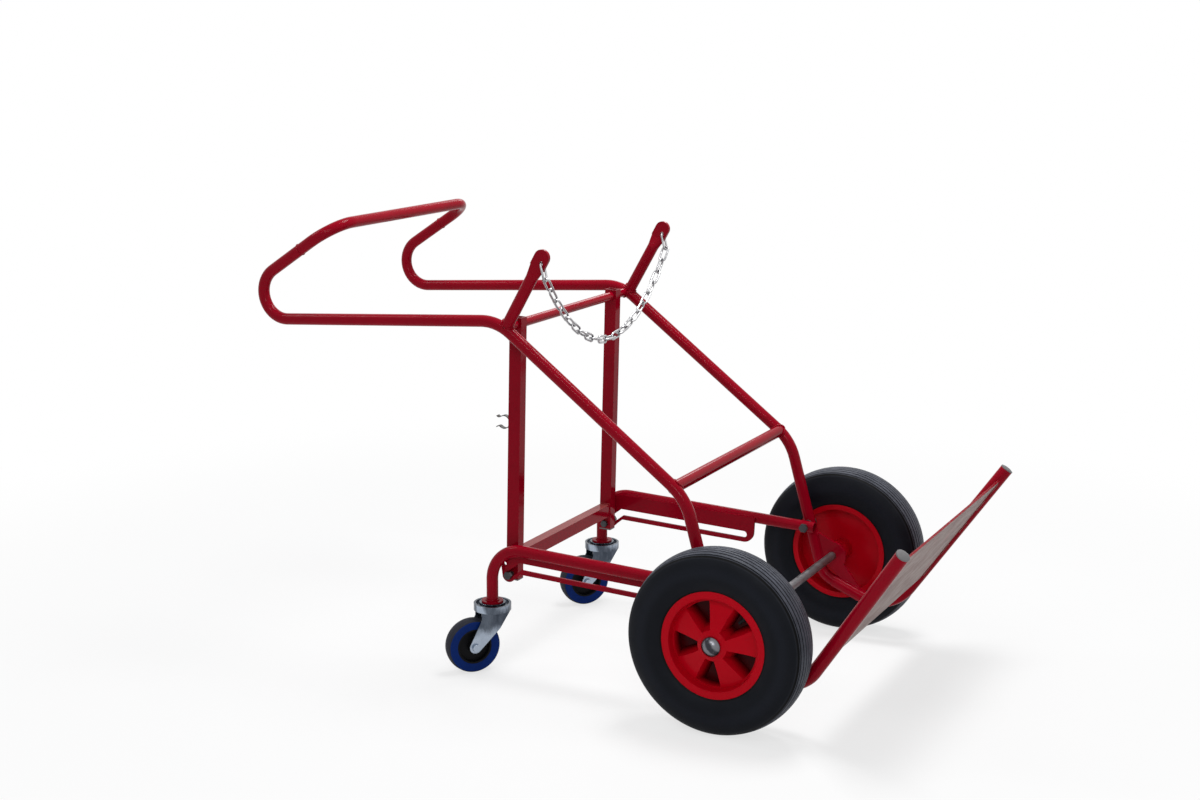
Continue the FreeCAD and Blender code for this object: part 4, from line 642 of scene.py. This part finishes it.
# The castor stems on their flanges, and the stitches of the slotted plates along the arms.
ARM_PIVOT = side_view(-0.059057, 0.272)
ARM_STITCHES = (0.135, 0.205, 0.275, 0.345, 0.415)
ARM_STITCH = 0.030
ARM_STITCH_OVER = 0.0045
for side, sign in SIDES:
    arm = "castor_arm_" + side
    flange = centre("castor_flange_" + side)
    foot = Vector((flange.x, flange.y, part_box("castor_flange_" + side)[1].z + PROUD))
    bead("weld_stem_" + side, ring_points(foot, UPWARD, TUBE_R + STEM_PROUD), STEM_BEAD, arm, "arm_paint")
    plate_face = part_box("slot_plate_" + side)[1 if sign > 0 else 0].y + sign * FLUSH
    for number, start in enumerate(ARM_STITCHES):
        ends = [aside(ARM_PIVOT + CASTOR_ARM * along + OVER_CASTOR_ARM * ARM_STITCH_OVER, plate_face)
                for along in (start, start + ARM_STITCH)]
        bead(f"weld_slot_plate_{side}_{number}", line_points(*ends), SLOT_PLATE_BEAD, arm, "arm_paint",
             closed=False)

# The cross tube of the prop, on the inner faces of the uprights.
TUBE_OVER_SEAT = 0.0352
TUBE_HALF_DEEP = 0.0131
TUBE_HALF_HIGH = 0.0156
TUBE_CORNER = 0.003
CORNER_STEPS = 4
seat = centre("slot_nut_right")
hang = Vector((seat.x - PIVOT_BAR.x, 0.0, seat.z - PIVOT_BAR.z))
DOWN = hang.normalized()
ACROSS = square_to(DOWN)
tube_middle = PIVOT_BAR + DOWN * (hang.length - TUBE_OVER_SEAT)


def tube_outline(middle):
    """Points round the rounded rectangle of the prop's cross tube."""
    deep = TUBE_HALF_DEEP - TUBE_CORNER
    high = TUBE_HALF_HIGH - TUBE_CORNER
    corners = []
    for quarter, (u, v) in enumerate(((1, 1), (-1, 1), (-1, -1), (1, -1))):
        for step in range(CORNER_STEPS + 1):
            a = (quarter + step / CORNER_STEPS) * math.pi / 2
            corners.append(middle + ACROSS * (u * deep + math.cos(a) * TUBE_CORNER)
                           + DOWN * (v * high + math.sin(a) * TUBE_CORNER))
    points = []
    for corner, following in zip(corners, corners[1:] + corners[:1]):
        count = max(1, int((following - corner).length / BEAD_STEP))
        points += [corner.lerp(following, i / count) for i in range(count)]
    return points


for side, sign in SIDES:
    joint = aside(tube_middle, sign * (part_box("prop_cross_tube")[1].y - PROUD))
    bead("weld_prop_" + side, tube_outline(joint), PROP_BEAD, "prop", "prop_paint")

# The raised line round the dish of each rim, with a ripple too long to show.
RIM_LINE_R = 0.1005
RIM_LINE_OUT = 0.0378
RIM_LINE_STEPS = 144
NO_RIPPLE = 1.0
for side, sign in SIDES:
    middle = aside(WHEEL_MIDDLE, sign * (WHEEL_HALF + RIM_LINE_OUT))
    points = ring_points(middle, LEFTWARD, RIM_LINE_R, RIM_LINE_STEPS)
    bead("rim_line_" + side, points, RIM_LINE, "wheel_" + side, "rim_red", ripple=NO_RIPPLE)


# The floor and the world: white to the camera and in reflections, plain light on the object.
FLOOR_SIZE = 80.0
PAPER = (0.79, 0.79, 0.79, 1.0)
WHITE = (1.0, 1.0, 1.0, 1.0)
SKYLIGHT = (0.97, 0.98, 1.0, 1.0)
SKYLIGHT_STRENGTH = 0.36
FADE = (("From Min", 0.7), ("From Max", 2.6), ("To Min", 0.70), ("To Max", 1.0))


def seen_share(tree):
    """1 for rays that the camera or a shiny surface sends out."""
    path = tree.nodes.new("ShaderNodeLightPath")
    share = path.outputs["Is Camera Ray"]
    for other in ("Is Glossy Ray", "Is Transmission Ray"):
        highest = tree.nodes.new("ShaderNodeMath")
        highest.operation = "MAXIMUM"
        tree.links.new(share, highest.inputs[0])
        tree.links.new(path.outputs[other], highest.inputs[1])
        share = highest.outputs[0]
    return share


def blended(tree, share, lit, seen, output):
    """Ends a node tree with one look for the light and another for what is seen."""
    blend = tree.nodes.new("ShaderNodeMixShader")
    tree.links.new(share, blend.inputs["Fac"])
    tree.links.new(lit.outputs[0], blend.inputs[1])
    tree.links.new(seen.outputs[0], blend.inputs[2])
    tree.links.new(blend.outputs["Shader"], tree.nodes.new(output).inputs["Surface"])


def make_floor():
    """A pale floor that keeps the cart's shadow and fades to white round it."""
    bpy.ops.mesh.primitive_plane_add(size=FLOOR_SIZE, location=(0.0, 0.0, 0.0))
    floor = bpy.context.active_object
    floor.name = "studio_floor"
    made = bpy.data.materials.new("pale_floor")
    made.use_nodes = True
    tree = made.node_tree
    tree.nodes.clear()
    place = tree.nodes.new("ShaderNodeTexCoord")
    away = tree.nodes.new("ShaderNodeVectorMath")
    away.operation = "LENGTH"
    tree.links.new(place.outputs["Object"], away.inputs[0])
    fade = tree.nodes.new("ShaderNodeMapRange")
    fade.interpolation_type = "SMOOTHSTEP"
    for name, value in FADE:
        fade.inputs[name].default_value = value
    tree.links.new(away.outputs["Value"], fade.inputs["Value"])
    share = tree.nodes.new("ShaderNodeMath")
    share.operation = "MULTIPLY"
    tree.links.new(seen_share(tree), share.inputs[0])
    tree.links.new(fade.outputs["Result"], share.inputs[1])
    paper = tree.nodes.new("ShaderNodeBsdfDiffuse")
    paper.inputs["Color"].default_value = PAPER
    glow = tree.nodes.new("ShaderNodeEmission")
    glow.inputs["Color"].default_value = WHITE
    glow.inputs["Strength"].default_value = 1.0
    blended(tree, share.outputs[0], paper, glow, "ShaderNodeOutputMaterial")
    floor.data.materials.append(made)


def make_world():
    """Even light from all round, from surroundings that show white."""
    world = bpy.data.worlds.new("studio")
    bpy.context.scene.world = world
    world.use_nodes = True
    tree = world.node_tree
    tree.nodes.clear()
    looks = []
    for colour, strength in ((SKYLIGHT, SKYLIGHT_STRENGTH), (WHITE, 1.0)):
        look = tree.nodes.new("ShaderNodeBackground")
        look.inputs["Color"].default_value = colour
        look.inputs["Strength"].default_value = strength
        looks.append(look)
    blended(tree, seen_share(tree), *looks, "ShaderNodeOutputWorld")


def softbox(name, place, target, size, power):
    """A rectangular lamp that points at a target."""
    lamp = bpy.data.lights.new(name, "AREA")
    lamp.shape = "RECTANGLE"
    lamp.size, lamp.size_y = size
    lamp.energy = power
    obj = bpy.data.objects.new(name, lamp)
    bpy.context.scene.collection.objects.link(obj)
    obj.location = place
    obj.rotation_mode = "QUATERNION"
    obj.rotation_quaternion = (Vector(target) - Vector(place)).to_track_quat("-Z", "Y")


make_floor()
make_world()
softbox("top_box", (0.5, 0.5, 3.4), (0.0, 0.0, 0.4), (1.3, 1.1), 88.0)
softbox("front_box", (1.7, -3.4, 2.2), (0.0, 0.0, 0.5), (1.2, 0.9), 20.0)
softbox("rear_box", (-2.6, -0.8, 3.0), (-0.4, 0.0, 0.6), (0.9, 0.9), 15.0)
softbox("back_box", (-0.8, 3.2, 2.4), (-0.3, 0.0, 0.6), (1.0, 0.8), 12.0)
softbox("front_strip", (0.2, -3.0, 3.0), (0.0, 0.0, 0.5), (2.2, 0.22), 18.0)

# The camera, fitted to the photograph. Its turns are in radians, its focal length and sensor in millimetres.
CAMERA = at(1.4125165, -3.7246445, 1.4849577)
YAW, PITCH, ROLL = 0.4692700, -0.2107357, 0.0063057
FOCAL_LENGTH = 54.863
SENSOR_WIDTH = 36.0
FAR_CLIP = 200.0
forward = Vector((-math.sin(YAW) * math.cos(PITCH), math.cos(YAW) * math.cos(PITCH), math.sin(PITCH)))
level_right = Vector((math.cos(YAW), math.sin(YAW), 0.0))
level_up = level_right.cross(forward)
right = level_right * math.cos(ROLL) + level_up * math.sin(ROLL)
up = level_up * math.cos(ROLL) - level_right * math.sin(ROLL)
lens = bpy.data.cameras.new("photo_camera")
lens.lens = FOCAL_LENGTH
lens.sensor_width = SENSOR_WIDTH
lens.clip_end = FAR_CLIP
camera = bpy.data.objects.new("photo_camera", lens)
bpy.context.scene.collection.objects.link(camera)
camera.matrix_world = Matrix.Translation(CAMERA) @ Matrix((right, up, -forward)).transposed().to_4x4()
bpy.context.scene.camera = camera
bpy.context.scene.view_settings.view_transform = "Standard"
